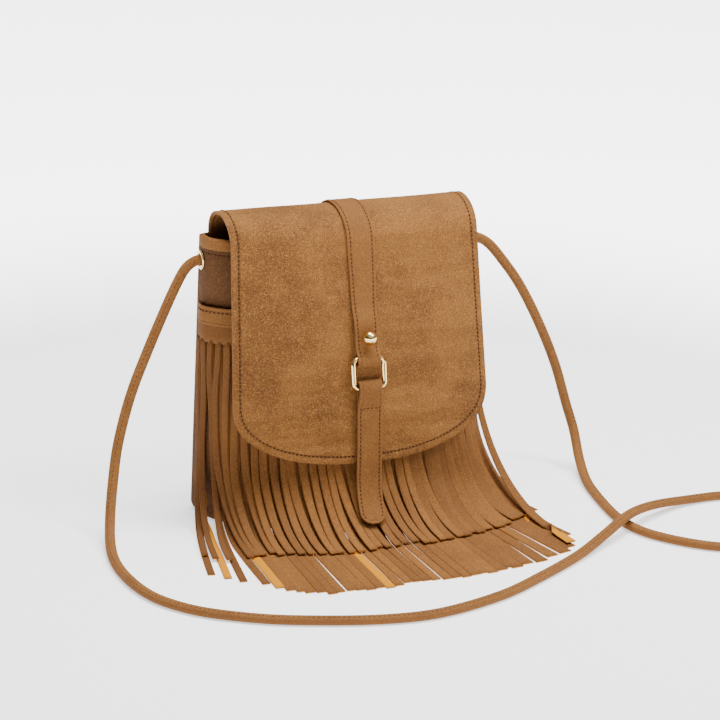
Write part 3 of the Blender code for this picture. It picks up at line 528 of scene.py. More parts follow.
def suede_group() -> Tree:
    """Build the nap of suede: cloudy patches, streaks of brushed nap, and fine bright and dark fibres.

    Returns:
        The group, which gives the colour, the roughness and the height.
    """
    inputs = {"Vector": "Vector", "Colour": "Color", "Patch Colour": "Color", "Fibre Colour": "Color"}
    inputs |= {"Patch Scale": "Float", "Patch Amount": "Float", "Fibre Amount": "Float"}
    outputs = {"Colour": "Color", "Roughness": "Float", "Height": "Float"}
    tree, nodes, given, result = start_group("suede_nap", inputs, outputs)
    place = given["Vector"]
    clouds = nodes.noise(place, given["Patch Scale"], 5.0, 0.6)
    patches = nodes.times(nodes.reach(clouds, 0.40, 0.64), given["Patch Amount"])
    base = nodes.mix(patches, given["Colour"], given["Patch Colour"])
    nap = nodes.noise(place, NAP_SCALE, 3.0, 0.6)
    streaks = nodes.times(nodes.reach(nap, 0.50, 0.70), given["Fibre Amount"])
    brushed = nodes.mix(streaks, base, given["Fibre Colour"])
    fine = nodes.noise(place, GRAIN_SCALE, 2.0, 0.6)
    bright = nodes.times(given["Fibre Amount"], 2.0)
    specks = nodes.times(nodes.reach(fine, 0.53, 0.64), bright)
    dark_specks = nodes.times(nodes.reach(fine, 0.47, 0.37), 0.55)
    flecked = nodes.mix(specks, brushed, given["Fibre Colour"])
    colour = nodes.mix(dark_specks, flecked, given["Patch Colour"])
    height = nodes.plus(nodes.times(nap, 0.6), fine)
    rough = nodes.plus(nodes.times(nap, 0.10), 0.80)
    nodes.feed(result, Colour=colour, Roughness=rough, Height=height)
    return tree


def edge_group() -> Tree:
    """Build the masks of a cut edge and of the groove that a row of stitches pulls.

    Returns:
        The group, which reads the distance to the piece's rim.
    """
    inputs = dict.fromkeys(("Distance", "Seam", "Groove Width", "Edge Width"), "Float")
    outputs = {"Edge": "Float", "Groove": "Float"}
    tree, nodes, given, result = start_group("rim_and_seam", inputs, outputs)
    distance = given["Distance"]
    edge = nodes.reach(distance, given["Edge Width"], 0.0)
    away = nodes.maths("ABSOLUTE", nodes.maths("SUBTRACT", distance, given["Seam"]), 0.0)
    groove = nodes.reach(away, given["Groove Width"], 0.0)
    nodes.feed(result, Edge=edge, Groove=groove)
    return tree


def scratch_group() -> Tree:
    """Build soft smudges and fine wear on polished metal.

    Returns:
        The group, which gives a roughness and a height.
    """
    tree, nodes, given, result = start_group(
        "handled_metal",
        {"Vector": "Vector", "Base Roughness": "Float"},
        {"Roughness": "Float", "Height": "Float"},
    )
    smudge = nodes.noise(given["Vector"], 160.0, 3.0, 0.6)
    fine = nodes.noise(given["Vector"], 1400.0, 2.0, 0.5)
    rough = nodes.plus(given["Base Roughness"], nodes.times(smudge, 0.10))
    nodes.feed(result, Roughness=rough, Height=fine)
    return tree


class Groups:
    """The shader node groups that the finishes share, each built once."""

    def __init__(self) -> None:
        """Build every group."""
        self.suede = suede_group()
        self.edge = edge_group()
        self.metal = scratch_group()


def start_material(name: str) -> tuple[Material, Nodes, Node]:
    """Begin a material.

    Args:
        name: Its name.

    Returns:
        The material, its Nodes and its Principled shader.
    """
    material = bpy.data.materials.new(name)
    material.use_nodes = True
    return material, Nodes(material.node_tree), material.node_tree.nodes["Principled BSDF"]


def opaque(colour: Colour) -> tuple[float, float, float, float]:
    """The colour with full alpha."""
    return (*colour, 1.0)


@dataclass(frozen=True)
class SuedeFinish:
    """Camel suede: its colours, the size of its patches, and its stitch groove where it has one."""

    name: str
    colour: Colour = (0.172, 0.067, 0.0155)
    patch: Colour = (0.088, 0.030, 0.007)
    fibre: Colour = (0.380, 0.182, 0.038)
    cut_edge: Colour = (0.190, 0.073, 0.019)
    underside: Colour = (0.500, 0.195, 0.002)
    patch_scale: float = 21.0
    patch_amount: float = 0.88
    fibre_amount: float = 0.30
    seam: float = -1.0
    groove_width: float = 0.0013
    edge_width: float = 0.0006
    edge_amount: float = 0.6
    # How far the stitch groove is darkened towards the patch colour, as painted shade
    groove_shade_amount: float = 0.25
    groove_depth: float = 7.0
    # How far the tone attribute darkens towards the patch colour; it holds a random tone and painted shade
    tone_and_shade_amount: float = 0.45
    grain_depth: float = 0.00025
    crease_depth: float = 0.016
    crease_scale: Colour = (9.0, 20.0, 42.0)
    sheen: float = 0.16
    sheen_roughness: float = 0.55
    specular: float = 0.22
    bump: float = 0.45
    slackness: float = 0.0
    golden_underside: bool = False

    def build(self, groups: Groups) -> Material:
        """Make the material.

        Args:
            groups: The shared shader groups.

        Returns:
            The finished material, which reads Object coordinates and the piece's rim distance.
        """
        material, nodes, shader = start_material(self.name)
        place = nodes.add("ShaderNodeTexCoord").outputs["Object"]
        nap = nodes.add("ShaderNodeGroup", node_tree=groups.suede)
        nodes.feed(
            nap, Vector=place, Colour=opaque(self.colour), Patch_Colour=opaque(self.patch),
            Fibre_Colour=opaque(self.fibre), Patch_Scale=self.patch_scale, Patch_Amount=self.patch_amount,
            Fibre_Amount=self.fibre_amount,
        )
        rim = nodes.attribute("rim")
        edge = nodes.add("ShaderNodeGroup", node_tree=groups.edge)
        nodes.feed(
            edge, Distance=rim, Seam=self.seam, Groove_Width=self.groove_width,
            Edge_Width=self.edge_width,
        )
        worn = nodes.times(edge.outputs["Edge"], self.edge_amount)
        colour = nodes.mix(worn, nap.outputs["Colour"], opaque(self.cut_edge))
        # Painted shade: the stitch groove is darkened towards the patch colour.
        painted_groove_shade = nodes.times(edge.outputs["Groove"], self.groove_shade_amount)
        colour = nodes.mix(painted_groove_shade, colour, opaque(self.patch))
        if self.golden_underside:
            under, tone_and_shade = nodes.attribute("under"), nodes.attribute("tone_and_shade")
            # The tone attribute darkens towards the patch colour: a random tone of each strip, plus painted
            # shade near the left seam.
            colour = nodes.mix(nodes.times(tone_and_shade, self.tone_and_shade_amount), colour, opaque(self.patch))
            colour = nodes.mix(nodes.reach(under, 0.35, 0.65), colour, opaque(self.underside))
        sunk = nodes.times(edge.outputs["Groove"], self.groove_depth)
        height = nodes.maths("SUBTRACT", nap.outputs["Height"], sunk)
        stretched = nodes.value("ShaderNodeMapping", "Vector", {"Vector": place, "Scale": self.crease_scale})
        creases = nodes.noise(stretched, 1.0, 2.0, 0.45)
        slack = nodes.bump(creases, self.slackness, self.crease_depth)
        bump = nodes.bump(height, self.bump, self.grain_depth, Normal=slack)
        nodes.feed(
            shader, Base_Color=colour, Roughness=nap.outputs["Roughness"], Normal=bump,
            Sheen_Weight=self.sheen, Sheen_Roughness=self.sheen_roughness, Sheen_Tint=opaque(self.fibre),
            Specular_IOR_Level=self.specular,
        )
        return material


@dataclass(frozen=True)
class MetalFinish:
    """Polished plated metal."""

    name: str
    colour: Colour
    roughness: float

    def build(self, groups: Groups) -> Material:
        """Make the material, with faint smudges.

        Args:
            groups: The shared shader groups.

        Returns:
            The finished material.
        """
        material, nodes, shader = start_material(self.name)
        wear = nodes.add("ShaderNodeGroup", node_tree=groups.metal)
        place = nodes.add("ShaderNodeTexCoord").outputs["Object"]
        nodes.feed(wear, Vector=place, Base_Roughness=self.roughness)
        bump = nodes.bump(wear.outputs["Height"], 0.03, 0.0001)
        nodes.feed(
            shader, Base_Color=opaque(self.colour), Metallic=1.0, Roughness=wear.outputs["Roughness"],
            Normal=bump,
        )
        return material


@dataclass(frozen=True)
class ClothFinish:
    """A plain woven lining cloth or a twisted thread."""

    name: str
    colour: Colour
    shade: Colour
    weave_scale: float = 1600.0

    def build(self, groups: Groups) -> Material:
        """Make the material from two crossed waves of yarn and a little noise.

        Args:
            groups: The shared shader groups, of which cloth needs none.

        Returns:
            The finished material.
        """
        material, nodes, shader = start_material(self.name)
        place = nodes.add("ShaderNodeTexCoord").outputs["Object"]
        inputs = {"Vector": place, "Scale": self.weave_scale, "Distortion": 0.6}
        warp, weft = (nodes.value("ShaderNodeTexWave", "Fac", inputs, bands_direction=way) for way in "XZ")
        yarn = nodes.times(warp, weft)
        fuzz = nodes.noise(place, 700.0, 2.0, 0.5)
        shade = nodes.times(nodes.plus(yarn, fuzz), 0.5)
        bump = nodes.bump(yarn, 0.4, 0.0002)
        nodes.feed(
            shader, Base_Color=nodes.mix(shade, opaque(self.shade), opaque(self.colour)), Roughness=0.9,
            Normal=bump, Specular_IOR_Level=0.2,
        )
        return material


class Finishes:
    """Every finish of the bag, ready to put on pieces."""

    def __init__(self) -> None:
        """Build the groups and the materials."""
        groups = Groups()
        gold = (0.84, 0.60, 0.26)
        self.flap = SuedeFinish("flap_suede_finish", seam=0.005, slackness=0.55).build(groups)
        # The panels and the base are a darker copy of the same suede: painted shade, chiefly for the pouch's
        # shaded left side.
        self.panel = SuedeFinish(
            "panel_suede_painted_shade",
            colour=(0.078, 0.028, 0.007), patch=(0.050, 0.018, 0.004), fibre=(0.150, 0.068, 0.018),
            slackness=0.35,
        ).build(groups)
        self.trim = SuedeFinish(
            "trim_suede_finish",
            colour=(0.162, 0.063, 0.0145), patch=(0.094, 0.033, 0.008), fibre=(0.33, 0.155, 0.034),
            fibre_amount=0.20, patch_amount=0.30, bump=0.30, seam=0.0022, groove_width=0.0011,
        ).build(groups)
        # The fringe's patch colour serves its cloudy patches and, through the tone attribute, the painted
        # shade of the strips near the left seam.
        self.fringe = SuedeFinish(
            "fringe_suede_finish",
            colour=(0.205, 0.080, 0.018), patch=(0.080, 0.028, 0.007), fibre=(0.38, 0.180, 0.038),
            fibre_amount=0.22, patch_amount=0.30, bump=0.30, golden_underside=True, edge_width=0.0003,
        ).build(groups)
        self.strap = SuedeFinish(
            "shoulder_strap_finish",
            colour=(0.180, 0.071, 0.0175), patch=(0.105, 0.038, 0.010), fibre=(0.35, 0.165, 0.040),
            fibre_amount=0.22, patch_amount=0.35, bump=0.28, patch_scale=40.0,
        ).build(groups)
        self.thread = ClothFinish(
            "thread_finish", (0.060, 0.019, 0.006), (0.030, 0.009, 0.003), weave_scale=2600.0
        ).build(groups)
        self.lining = ClothFinish("lining_finish", (0.030, 0.020, 0.014), (0.014, 0.009, 0.006)).build(groups)
        self.gold = MetalFinish("pale_gold_finish", gold, 0.07).build(groups)
        self.gold_satin = MetalFinish("satin_gold_finish", gold, 0.20).build(groups)
        self.steel = MetalFinish("steel_finish", (0.56, 0.57, 0.58), 0.25).build(groups)


def finish_piece(obj: Piece, material: Material, slot: str, body: Body | None, *nodes: str) -> Piece:
    """Dress a piece, join it to its body and report it.

    Args:
        obj: The piece.
        material: Its material.
        slot: Not used.
        body: The body that it rides on. Without one its placement is baked into its mesh.
        *nodes: The CAD nodes that it stands for.

    Returns:
        The piece.
    """
    obj.data.materials.clear()
    obj.data.materials.append(material)
    if nodes:
        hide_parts(*nodes)
    if body is None:
        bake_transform(obj)
    else:
        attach(obj, body.value)
    logger.info("%s: %d faces", obj.name, len(obj.data.polygons))
    return obj


# Sub-assemblies


@dataclass(frozen=True)
class PouchForm:
    """The pouch's outline: a D in plan, from side seam to side seam, narrower and shallower at the mouth."""

    height: float = 0.203
    base_half_width: float = 0.1085
    mouth_half_width: float = 0.102
    seam_y: float = 0.022
    seam_to_back: float = 0.014
    base_depth: float = 0.069
    mouth_depth: float = 0.033
    back_power: float = 6.0
    low_power: float = 2.0
    mouth_power: float = 2.8
    squaring_from: float = 0.150
    squaring_to: float = 0.182
    heel_radius: float = 0.008
    heel_angle: float = math.radians(50)
    share_level: float = 0.131
    eyelet_z: float = 0.187

    @property
    def eyelet_x(self) -> float:
        """How far each eyelet lies from the middle."""
        return float(self.half_width(np.array(self.eyelet_z)))

    def half_width(self, z: Array) -> Array:
        """Half the width at a height, on a straight taper."""
        return self.base_half_width + (self.mouth_half_width - self.base_half_width) * z / self.height

    def depth(self, z: Array) -> Array:
        """How far the front's middle lies ahead of the side seams at a height, on a straight taper."""
        return self.base_depth + (self.mouth_depth - self.base_depth) * z / self.height

    def heel_inset(self, z: Array) -> Array:
        """How far the wall turns in at its heel: the radius less the half chord of its circle there."""
        drop = np.maximum(0.0, self.heel_radius * math.sin(self.heel_angle) - z)
        return self.heel_radius - np.sqrt(self.heel_radius**2 - drop**2)

    def at_turns(self, turns: Array, z: Array, offset: Array, front: bool = True) -> Array:
        """Points on the wall.

        The plan is half a superellipse: sideways share and forward share, raised to a power, add up to one. A
        point is then moved along the outline's normal by the offset.

        Args:
            turns: From 0 at the left seam to pi at the right one.
            z: Heights, which broadcast with the turns.
            offset: How far the points lie outside the wall.
            front: Whether this is the front wall or the back one.

        Returns:
            The points.
        """
        turns, z, offset = np.broadcast_arrays(turns, z, offset)
        rise = ramp(z, self.squaring_from, self.squaring_to - self.squaring_from)
        power = self.low_power + (self.mouth_power - self.low_power) * rise if front else self.back_power
        width = self.half_width(z)
        depth = self.depth(z) if front else self.seam_to_back
        ahead = -1.0 if front else 1.0
        cosine = -np.cos(turns)
        sideways = np.sign(cosine) * np.abs(cosine) ** (2 / power)
        out = np.abs(np.sin(turns)) ** (2 / power)
        normal_x = np.sign(sideways) * np.abs(sideways) ** (power - 1) / width
        normal_y = ahead * out ** (power - 1) / depth
        length = np.hypot(normal_x, normal_y)
        moved = offset - self.heel_inset(z)
        x = width * sideways + normal_x / length * moved
        y = self.seam_y + ahead * (CLEARANCE / 2 + depth * out) + normal_y / length * moved
        return np.stack([x, y, z], axis=-1)

    def turns(self, shares: Array, front: bool = True) -> Array:
        """Find turns by their share of the way from seam to seam, measured along the wall at one level.

        Args:
            shares: From 0 at the left seam to 1 at the right one.
            front: Whether this is the front wall or the back one.

        Returns:
            The turns.
        """
        turns = np.linspace(0.0, math.pi, 1441)
        run = run_along(self.at_turns(turns, np.array(self.share_level), np.array(0.0), front))
        return np.interp(shares * run[-1], run, turns)

    def wall(self, shares: Array, z: Array, offset: Array | float, front: bool = True) -> Array:
        """Points on the wall at shares of the way from seam to seam and at heights."""
        return self.at_turns(self.turns(np.asarray(shares), front), np.asarray(z), np.asarray(offset), front)

    def wall_length(self, z: float) -> float:
        """The front wall's length from seam to seam at a height."""
        turns = np.linspace(0.0, math.pi, 181)
        return float(run_along(self.at_turns(turns, np.array(z), np.array(0.0)))[-1])


def seam_pinch(share: Array | float) -> Array:
    """How much of its standoff a piece keeps: all along the front, and a third where it meets a seam."""
    near = np.minimum(np.asarray(share), 1 - np.asarray(share))
    return PINCH_AT_SEAM + (1 - PINCH_AT_SEAM) * ramp(near, 0.0, PINCH_OVER)


def seam_shares(count: int) -> Array:
    """Shares from 0 to 1 that lie closer together near the seams."""
    even = np.linspace(0.0, 1.0, count)
    return EVEN_PART * even + (1 - EVEN_PART) * smooth_step(even)


@dataclass
class Pouch:
    """The front and back panels, the base, the lining, the binding and the stitched band over the fringe."""

    form: PouchForm
    suede: float = 0.0016
    binding_drop: float = 0.0055
    binding_thickness: float = 0.0012
    binding_bulge: float = 0.0003
    band_top: float = 0.157
    band_height: float = 0.013
    band_thickness: float = 0.0012
    band_offset: float = 0.0038
    band_swell: float = 0.00025
    thread_lift: float = 0.0001
    band_thread_lift: float = 0.0005
    unevenness: float = 0.00022
    seam: float = 0.0034
    stitches: StitchRow = StitchRow(pitch=0.0031, length=0.0021)
    row_shares: Pair = (0.012, 0.988)
    finer_below: float = 1.15
    columns: int = 140
    rows: int = 70

    def panel(self, name: str, front: bool) -> Piece:
        """One panel as a closed sheet that follows the wall.

        Its slight hand-made unevenness is a product of two slow waves, across and up the panel.

        Args:
            name: The piece's name.
            front: Whether this is the front panel or the back one.

        Returns:
            The panel.
        """
        shares = seam_shares(self.columns)[None, :]
        z = np.linspace(0.0, 1.0, self.rows)[:, None] ** self.finer_below * self.form.height
        fade = np.minimum(1.0, 12 * np.minimum(shares, 1 - shares)) * np.sin(math.pi * z / self.form.height)
        wave = self.unevenness * np.sin(9.0 * shares + 1.1) * np.sin(31.0 * z + 4.0 * shares) * fade
        outer = self.form.wall(shares, z, wave, front)
        inner = self.form.wall(shares, z, wave - self.suede, front)
        return make_sheet(name, outer, inner)

    def binding(self) -> Piece:
        """The rolled binding: a hooked section, half a circle over the edge, carried from seam to seam.

        Returns:
            The binding.
        """
        low = self.form.height - self.binding_drop
        half = (self.suede + 2 * CLEARANCE) / 2
        middle = -self.suede / 2
        angle = np.linspace(0.0, math.pi, 13)
        reach = []
        for radius in (half + self.binding_thickness, half):
            drop = np.linspace(0.0, 1.0, 5)
            out = np.concatenate([np.full(5, radius), radius * np.cos(angle)[1:-1], np.full(5, -radius)])
            out[:5] += self.binding_bulge * np.sin(math.pi * drop) * (radius > half)
            rise = np.concatenate([
                low + self.binding_drop * drop,
                self.form.height + radius * np.sin(angle)[1:-1],
                low + self.binding_drop * drop[::-1],
            ])
            reach.append((middle + out, rise))
        shares = seam_shares(self.columns)[None, :]
        grids = []
        for out, rise in reach:
            grid = self.form.wall(shares, np.minimum(rise, self.form.height)[:, None], out[:, None])
            grid[..., 2] = rise[:, None]
            grids.append(grid)
        return make_sheet("rolled_binding", *grids, np.full(grids[0].shape[:2], NO_RIM))

    def band(self) -> Piece:
        """The folded band over the fringe, slightly padded between its edges.

        Returns:
            The band.
        """
        shares = seam_shares(self.columns)[None, :]
        up = np.linspace(0.0, 1.0, 13)[:, None]
        z = self.band_top - self.band_height * (1 - up)
        swell = self.band_swell * np.sin(math.pi * up)
        pinch = seam_pinch(shares)
        outer = self.form.wall(shares, z, (self.band_offset + self.band_thickness) * pinch + swell)
        inner = self.form.wall(shares, z, self.band_offset * pinch)
        return make_sheet("stitched_band", outer, inner, rim_distance(outer, (True, True, False, False)))

    def wall_stitches(self, name: str, z: float, offset: float) -> Piece:
        """A level row of stitches on the front wall.

        Args:
            name: The piece's name.
            z: The row's height.
            offset: How far it lies outside the wall.

        Returns:
            The stitches.
        """
        shares = np.linspace(*self.row_shares, 600)
        fine = self.form.wall(shares, z, offset * seam_pinch(shares))
        count = int(run_along(fine)[-1] / self.stitches.pitch)
        places = resample(fine, count)
        outside = resample(self.form.wall(shares, z, offset * seam_pinch(shares) + 0.001), count)
        return self.stitches.sew(name, places, unit(outside - places))

    def build(self, finishes: Finishes) -> None:
        """Make the pouch's pieces and dress its CAD nodes.

        Args:
            finishes: The bag's finishes.
        """
        # The front and back panels wear the darker panel suede, which is painted shade.
        for name, node, ahead in (("front_suede", "front_panel", True), ("back_suede", "back_panel", False)):
            finish_piece(self.panel(name, ahead), finishes.panel, "suede", Body.POUCH, node)
        for piece, node in ((self.binding(), "mouth_binding"), (self.band(), "fringe_band")):
            finish_piece(piece, finishes.trim, "smooth_suede", Body.POUCH, node)
        under_binding = self.form.height - self.binding_drop - self.seam
        on_band = self.band_offset + self.band_thickness + self.band_thread_lift
        for name, z, offset in (
            ("mouth_stitches", under_binding, self.thread_lift),
            ("band_stitches", self.band_top - self.seam, on_band),
        ):
            row = self.wall_stitches(name, z, offset)
            finish_piece(row, finishes.thread, "smooth_suede", Body.POUCH)
        for node in ("lining_front", "lining_back", "lining_base"):
            dress_node(node, finishes.lining)
        # The base wears the same darker suede with painted shade.
        dress_node("base_panel", finishes.panel)


def dress_node(node: str, material: Material) -> None:
    """Put a material on a CAD node that stays visible.

    Args:
        node: The node's name.
        material: The material.
    """
    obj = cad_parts[node]
    obj.data.materials.clear()
    obj.data.materials.append(material)
    logger.info("%s: dressed as it is", node)


@dataclass
class Fringe:
    """The two combs of strips, each with an uncut header under the band.

    A pair of values is for the long comb and the short one, or bounds what is drawn at random. corner, fan,
    the ramp of painted shade near the left seam, shingle and the names that end in down hold the start and
    the length of a ramp, as a share of the way from seam to seam, from the middle to a seam, or down a strip.
    leans gives each comb its lean at the left, what it gains to the right, and over which share. Each of
    sweeps is a further lean, with its ramp.
    """

    form: PouchForm
    thickness: float = 0.0010
    ease: float = 0.0006
    cut_top: float = 0.131
    overlap: float = 0.0015
    band_top: float = 0.157
    header_drop: float = 0.002
    header_grid: tuple[int, int] = (6, 120)
    count: int = 40
    width_share: Pair = (1.00, 0.86)
    width_spread: Pair = (0.93, 1.04)
    leaves: Pair = (0.044, 0.052)
    reach: Pair = (0.118, 0.057)
    left_reach: Pair = (0.116, 0.086)
    right_reach: Pair = (0.104, 0.070)
    corner: Pair = (0.66, 0.28)
    corner_rise: float = 0.006
    leans: tuple[Triple, ...] = ((-0.05, 0.13, 0.9), (-0.04, 0.20, 0.7))
    sweeps: tuple[Triple, ...] = ((0.16, 0.74, 0.12), (-0.14, 0.91, 0.06), (-0.18, 0.10, -0.09))
    wobble: float = 0.004
    tip_wave: float = 0.05
    tip_scatter: float = 0.0025
    turn_down: Pair = (0.35, 0.5)
    loose_left: float = 2.2
    narrow_left: float = 0.22
    sway: Pair = (0.0005, 0.0017)
    sway_share: Pair = (0.45, 1.0)
    swings: Pair = (0.5, 1.1)
    free_down: Pair = (0.0, 0.25)
    roll_degrees: float = 14.0
    shingle: Pair = (0.35, 0.4)
    shingle_degrees: float = 11.0
    fan: Pair = (0.55, 0.25)
    fan_amount: float = 0.45
    fan_down: Pair = (0.3, 0.5)
    # Painted shade towards the left seam: its ramp over the share and its strength in the strips; then the
    # header's own base tone, to which the same ramp adds painted shade
    left_painted_shade: Pair = (0.20, -0.16)
    shade: float = 1.5
    header_tone: float = 0.4
    floor_gap: float = 0.0001
    stray_number: int = 38
    stray_leaves: float = 0.100
    stray_reach: float = 0.140
    stray_way: Triple = (0.10, -1.0, 0.0)
    stray_turn_down: Pair = (0.0, 0.3)
    golden: tuple[tuple[int, ...], tuple[int, ...]] = ((1, 4, 15, 38), (38,))
    golden_down: Pair = (0.50, 0.20)
    golden_tip_down: Pair = (0.84, 0.08)
    golden_tips_from: float = 0.9
    steps: int = 24
    rings: int = 34
    sides: int = 8

    def offset(self, layer: Layer, share: Array | float = 0.5) -> Array:
        """The outward offset of a layer's inner face, which shrinks smoothly towards a side seam."""
        return (self.ease + layer.value * (self.thickness + self.ease)) * seam_pinch(share)

    def direction(self, share: float, layer: Layer, wobble: float, stray: bool) -> Array:
        """The level direction in which a strip runs out.

        It is ahead with a slight lean, which grows to the right, sweeps out near the right seam, and turns to
        the left at the left one.

        Args:
            share: Where along the wall the strip hangs.
            layer: Which comb it belongs to.
            wobble: A small difference of its own.
            stray: Whether it is the stray strip.

        Returns:
            A level unit vector.
        """
        if stray:
            return unit(np.array(self.stray_way))
        low, gain, span = self.leans[layer.value]
        lean = low + gain * ramp(share, 0.0, span)
        for gain, start, length in self.sweeps:
            lean += gain * ramp(share, start, length)
        angle = math.atan(lean + wobble)
        return np.array((math.sin(angle), -math.cos(angle), 0.0))

    def middle_line(self, share: float, layer: Layer, leaves: float, tip: float,
                    direction: Array) -> tuple[Array, Array]:
        """A strip's middle line: down the wall, round part of a circle and out along the floor.

        Args:
            share: Where along the wall the strip hangs, from 0 to 1.
            layer: Which comb it belongs to.
            leaves: The height at which it leaves the wall.
            tip: How far out its tip lies.
            direction: The level direction in which it runs out.

        Returns:
            The line from its top to its tip, and the wall's own level direction beside it.
        """
        middle = float(self.offset(layer, share)) + self.thickness / 2
        rest = self.thickness / 2 + layer.value * (self.thickness + 2 * self.ease)
        z = np.linspace(self.cut_top + self.overlap, leaves, self.steps)
        hanging = self.form.wall(np.full(self.steps, share), z, middle)
        beside = self.form.wall(np.array([share - 0.002, share + 0.002]), leaves, middle)
        tangent = unit(beside[1] - beside[0])
        slope = (self.form.base_depth - self.form.mouth_depth) / self.form.height
        first = math.atan(slope * max(0.0, -tangent[0] * direction[1]))
        radius = (leaves - rest) / (1 - math.sin(first))
        bend_run = radius * math.cos(first)
        last = math.pi / 2 if tip > bend_run else math.acos(math.cos(first) - tip / radius)
        angle = np.linspace(first, last, self.steps)[1:, None]
        arc = hanging[-1] + direction * radius * (math.cos(first) - np.cos(angle))
        arc[:, 2] = leaves - radius * (np.sin(angle[:, 0]) - math.sin(first))
        line = np.concatenate([hanging, arc])
        if tip > bend_run:
            far = hanging[-1] + direction * np.linspace(bend_run, tip, self.steps // 2)[1:, None]
            far[:, 2] = rest
            line = np.concatenate([line, far])
        return soften(resample(line, self.rings), 3), tangent

    def strip(self, share: float, layer: Layer, number: int,
              random: np.random.Generator) -> tuple[Array, ...]:
        """One strip along its middle line, with its own sway, twist, width, tone and painted shade.

        Args:
            share: Where along the wall the strip hangs, from 0 to 1.
            layer: Which comb it belongs to.
            number: Its number, counted from the left.
            random: The seeded source of its small differences.

        Returns:
            The ring points, the rim distances, the underside shares, and the tone of each vertex with its
            painted shade.
        """
        pick = layer.value
        wobble = random.uniform(-self.wobble, self.wobble)
        tip = self.reach[pick] * (1 + self.tip_wave * math.sin(3 * share * math.pi))
        tip += random.uniform(-self.tip_scatter, self.tip_scatter)
        corner = ramp(abs(share - 0.5) / 0.5, *self.corner)
        at_left = corner if share < 0.5 else 0.0
        tip += ((self.left_reach if share < 0.5 else self.right_reach)[pick] - tip) * corner
        leaves = self.leaves[pick] + self.corner_rise * corner
        stray = layer is Layer.SHORT and number == self.stray_number
        if stray:
            leaves, tip = self.stray_leaves, self.stray_reach
        direction = self.direction(share, layer, wobble, stray)
        line, tangent = self.middle_line(share, layer, leaves, tip, direction)
        down = np.linspace(0.0, 1.0, self.rings)
        ahead = unit(np.gradient(line, axis=0))
        level = np.array((-direction[1], direction[0], 0.0))
        turn = ramp(down, *(self.stray_turn_down if stray else self.turn_down))[:, None]
        across = tangent * (1 - turn) + level * turn
        across = unit(across - ahead * np.sum(across * ahead, axis=1, keepdims=True))
        normal = unit(np.cross(ahead, across))
        loose = 1 + self.loose_left * at_left
        sway = loose * self.sway_share[pick] * random.uniform(*self.sway)
        swings, phase = random.uniform(*self.swings), random.uniform(0, 6)
        fade = ramp(down, *self.free_down)
        line = line + across * (sway * np.sin(2 * math.pi * down * swings + phase) * fade)[:, None]
        most = math.radians(random.uniform(-self.roll_degrees, self.roll_degrees))
        roll = loose * most * np.sin(math.pi * down) * fade
        if layer is Layer.SHORT:
            shingle = math.radians(self.shingle_degrees * ramp(share, *self.shingle))
            roll = roll + shingle * np.sin(math.pi * np.clip(down * 1.05, 0, 1)) * fade
        if number in self.golden[pick]:
            turned = self.golden_tip_down if share > self.golden_tips_from else self.golden_down
            roll = roll + math.pi * ramp(down, *turned)
        cosine, sine = np.cos(roll)[:, None], np.sin(roll)[:, None]
        across, normal = across * cosine + normal * sine, normal * cosine - across * sine
        pitch = self.form.wall_length(leaves) / self.count
        half = pitch * self.width_share[pick] / 2 * random.uniform(*self.width_spread)
        half *= 1 - self.narrow_left * at_left
        widths = half * (1 + self.fan_amount * ramp(share, *self.fan) * ramp(down, *self.fan_down))
        half = self.thickness / 2
        points, rim, under = carry_section(line, across, normal, widths, half, self.sides, LESS_SQUARE)
        points[:, 2] = np.maximum(points[:, 2], self.floor_gap)
        # Painted shade: strips near the left seam are darkened through their tone, on top of a random tone of
        # their own.
        left_painted_shade = self.shade * ramp(share, *self.left_painted_shade)
        tone_and_shade = random.uniform(0.0, 1.0) * (1 - 0.5 * left_painted_shade) + left_painted_shade
        return points, rim, under, np.full(len(rim), tone_and_shade)

    def comb(self, name: str, layer: Layer, seed: int) -> Piece:
        """All the strips of a layer and the header that holds them.

        Args:
            name: The piece's name.
            layer: Which comb.
            seed: Fixes the strips' small differences.

        Returns:
            The comb as one object.
        """
        random = np.random.default_rng(seed)
        strips = [self.strip((n + 0.5) / self.count, layer, n, random) for n in range(self.count)]
        each = tube_quads(self.rings, self.sides)
        size = self.rings * self.sides
        quads = (each[None] + (np.arange(self.count) * size)[:, None, None]).reshape(-1, 4)
        points, *marks = (np.concatenate(parts) for parts in zip(*strips))
        rows, columns = self.header_grid
        shares = seam_shares(columns)[None, :]
        z = np.linspace(self.band_top - self.header_drop, self.cut_top, rows)[:, None]
        near = self.offset(layer, shares)
        far = near + self.thickness * seam_pinch(shares)
        outer, inner = self.form.wall(shares, z, far), self.form.wall(shares, z, near)
        header = np.concatenate([outer.reshape(-1, 3), inner.reshape(-1, 3)])
        quads = np.concatenate([quads, sheet_quads(rows, columns) + len(points)])
        extra = len(header)
        points = np.concatenate([points, header])
        # The header's tone: a base tone, plus painted shade towards the left seam.
        tone_and_shade = np.tile(self.header_tone + ramp(shares[0], *self.left_painted_shade), 2 * rows)
        header_marks = (np.full(extra, NO_RIM), np.zeros(extra), tone_and_shade)
        joined = [np.concatenate(parts) for parts in zip(marks, header_marks)]
        return put_mesh(name, points, quads, dict(zip(("rim", "under", "tone_and_shade"), joined)))

    def build(self, finishes: Finishes) -> None:
        """Make both combs.

        Args:
            finishes: The bag's finishes.
        """
        for word, layer, seed in (("long", Layer.LONG, 3), ("short", Layer.SHORT, 8)):
            comb = self.comb(f"{word}_fringe", layer, seed)
            finish_piece(comb, finishes.fringe, "suede", Body.POUCH, f"fringe_{word}")


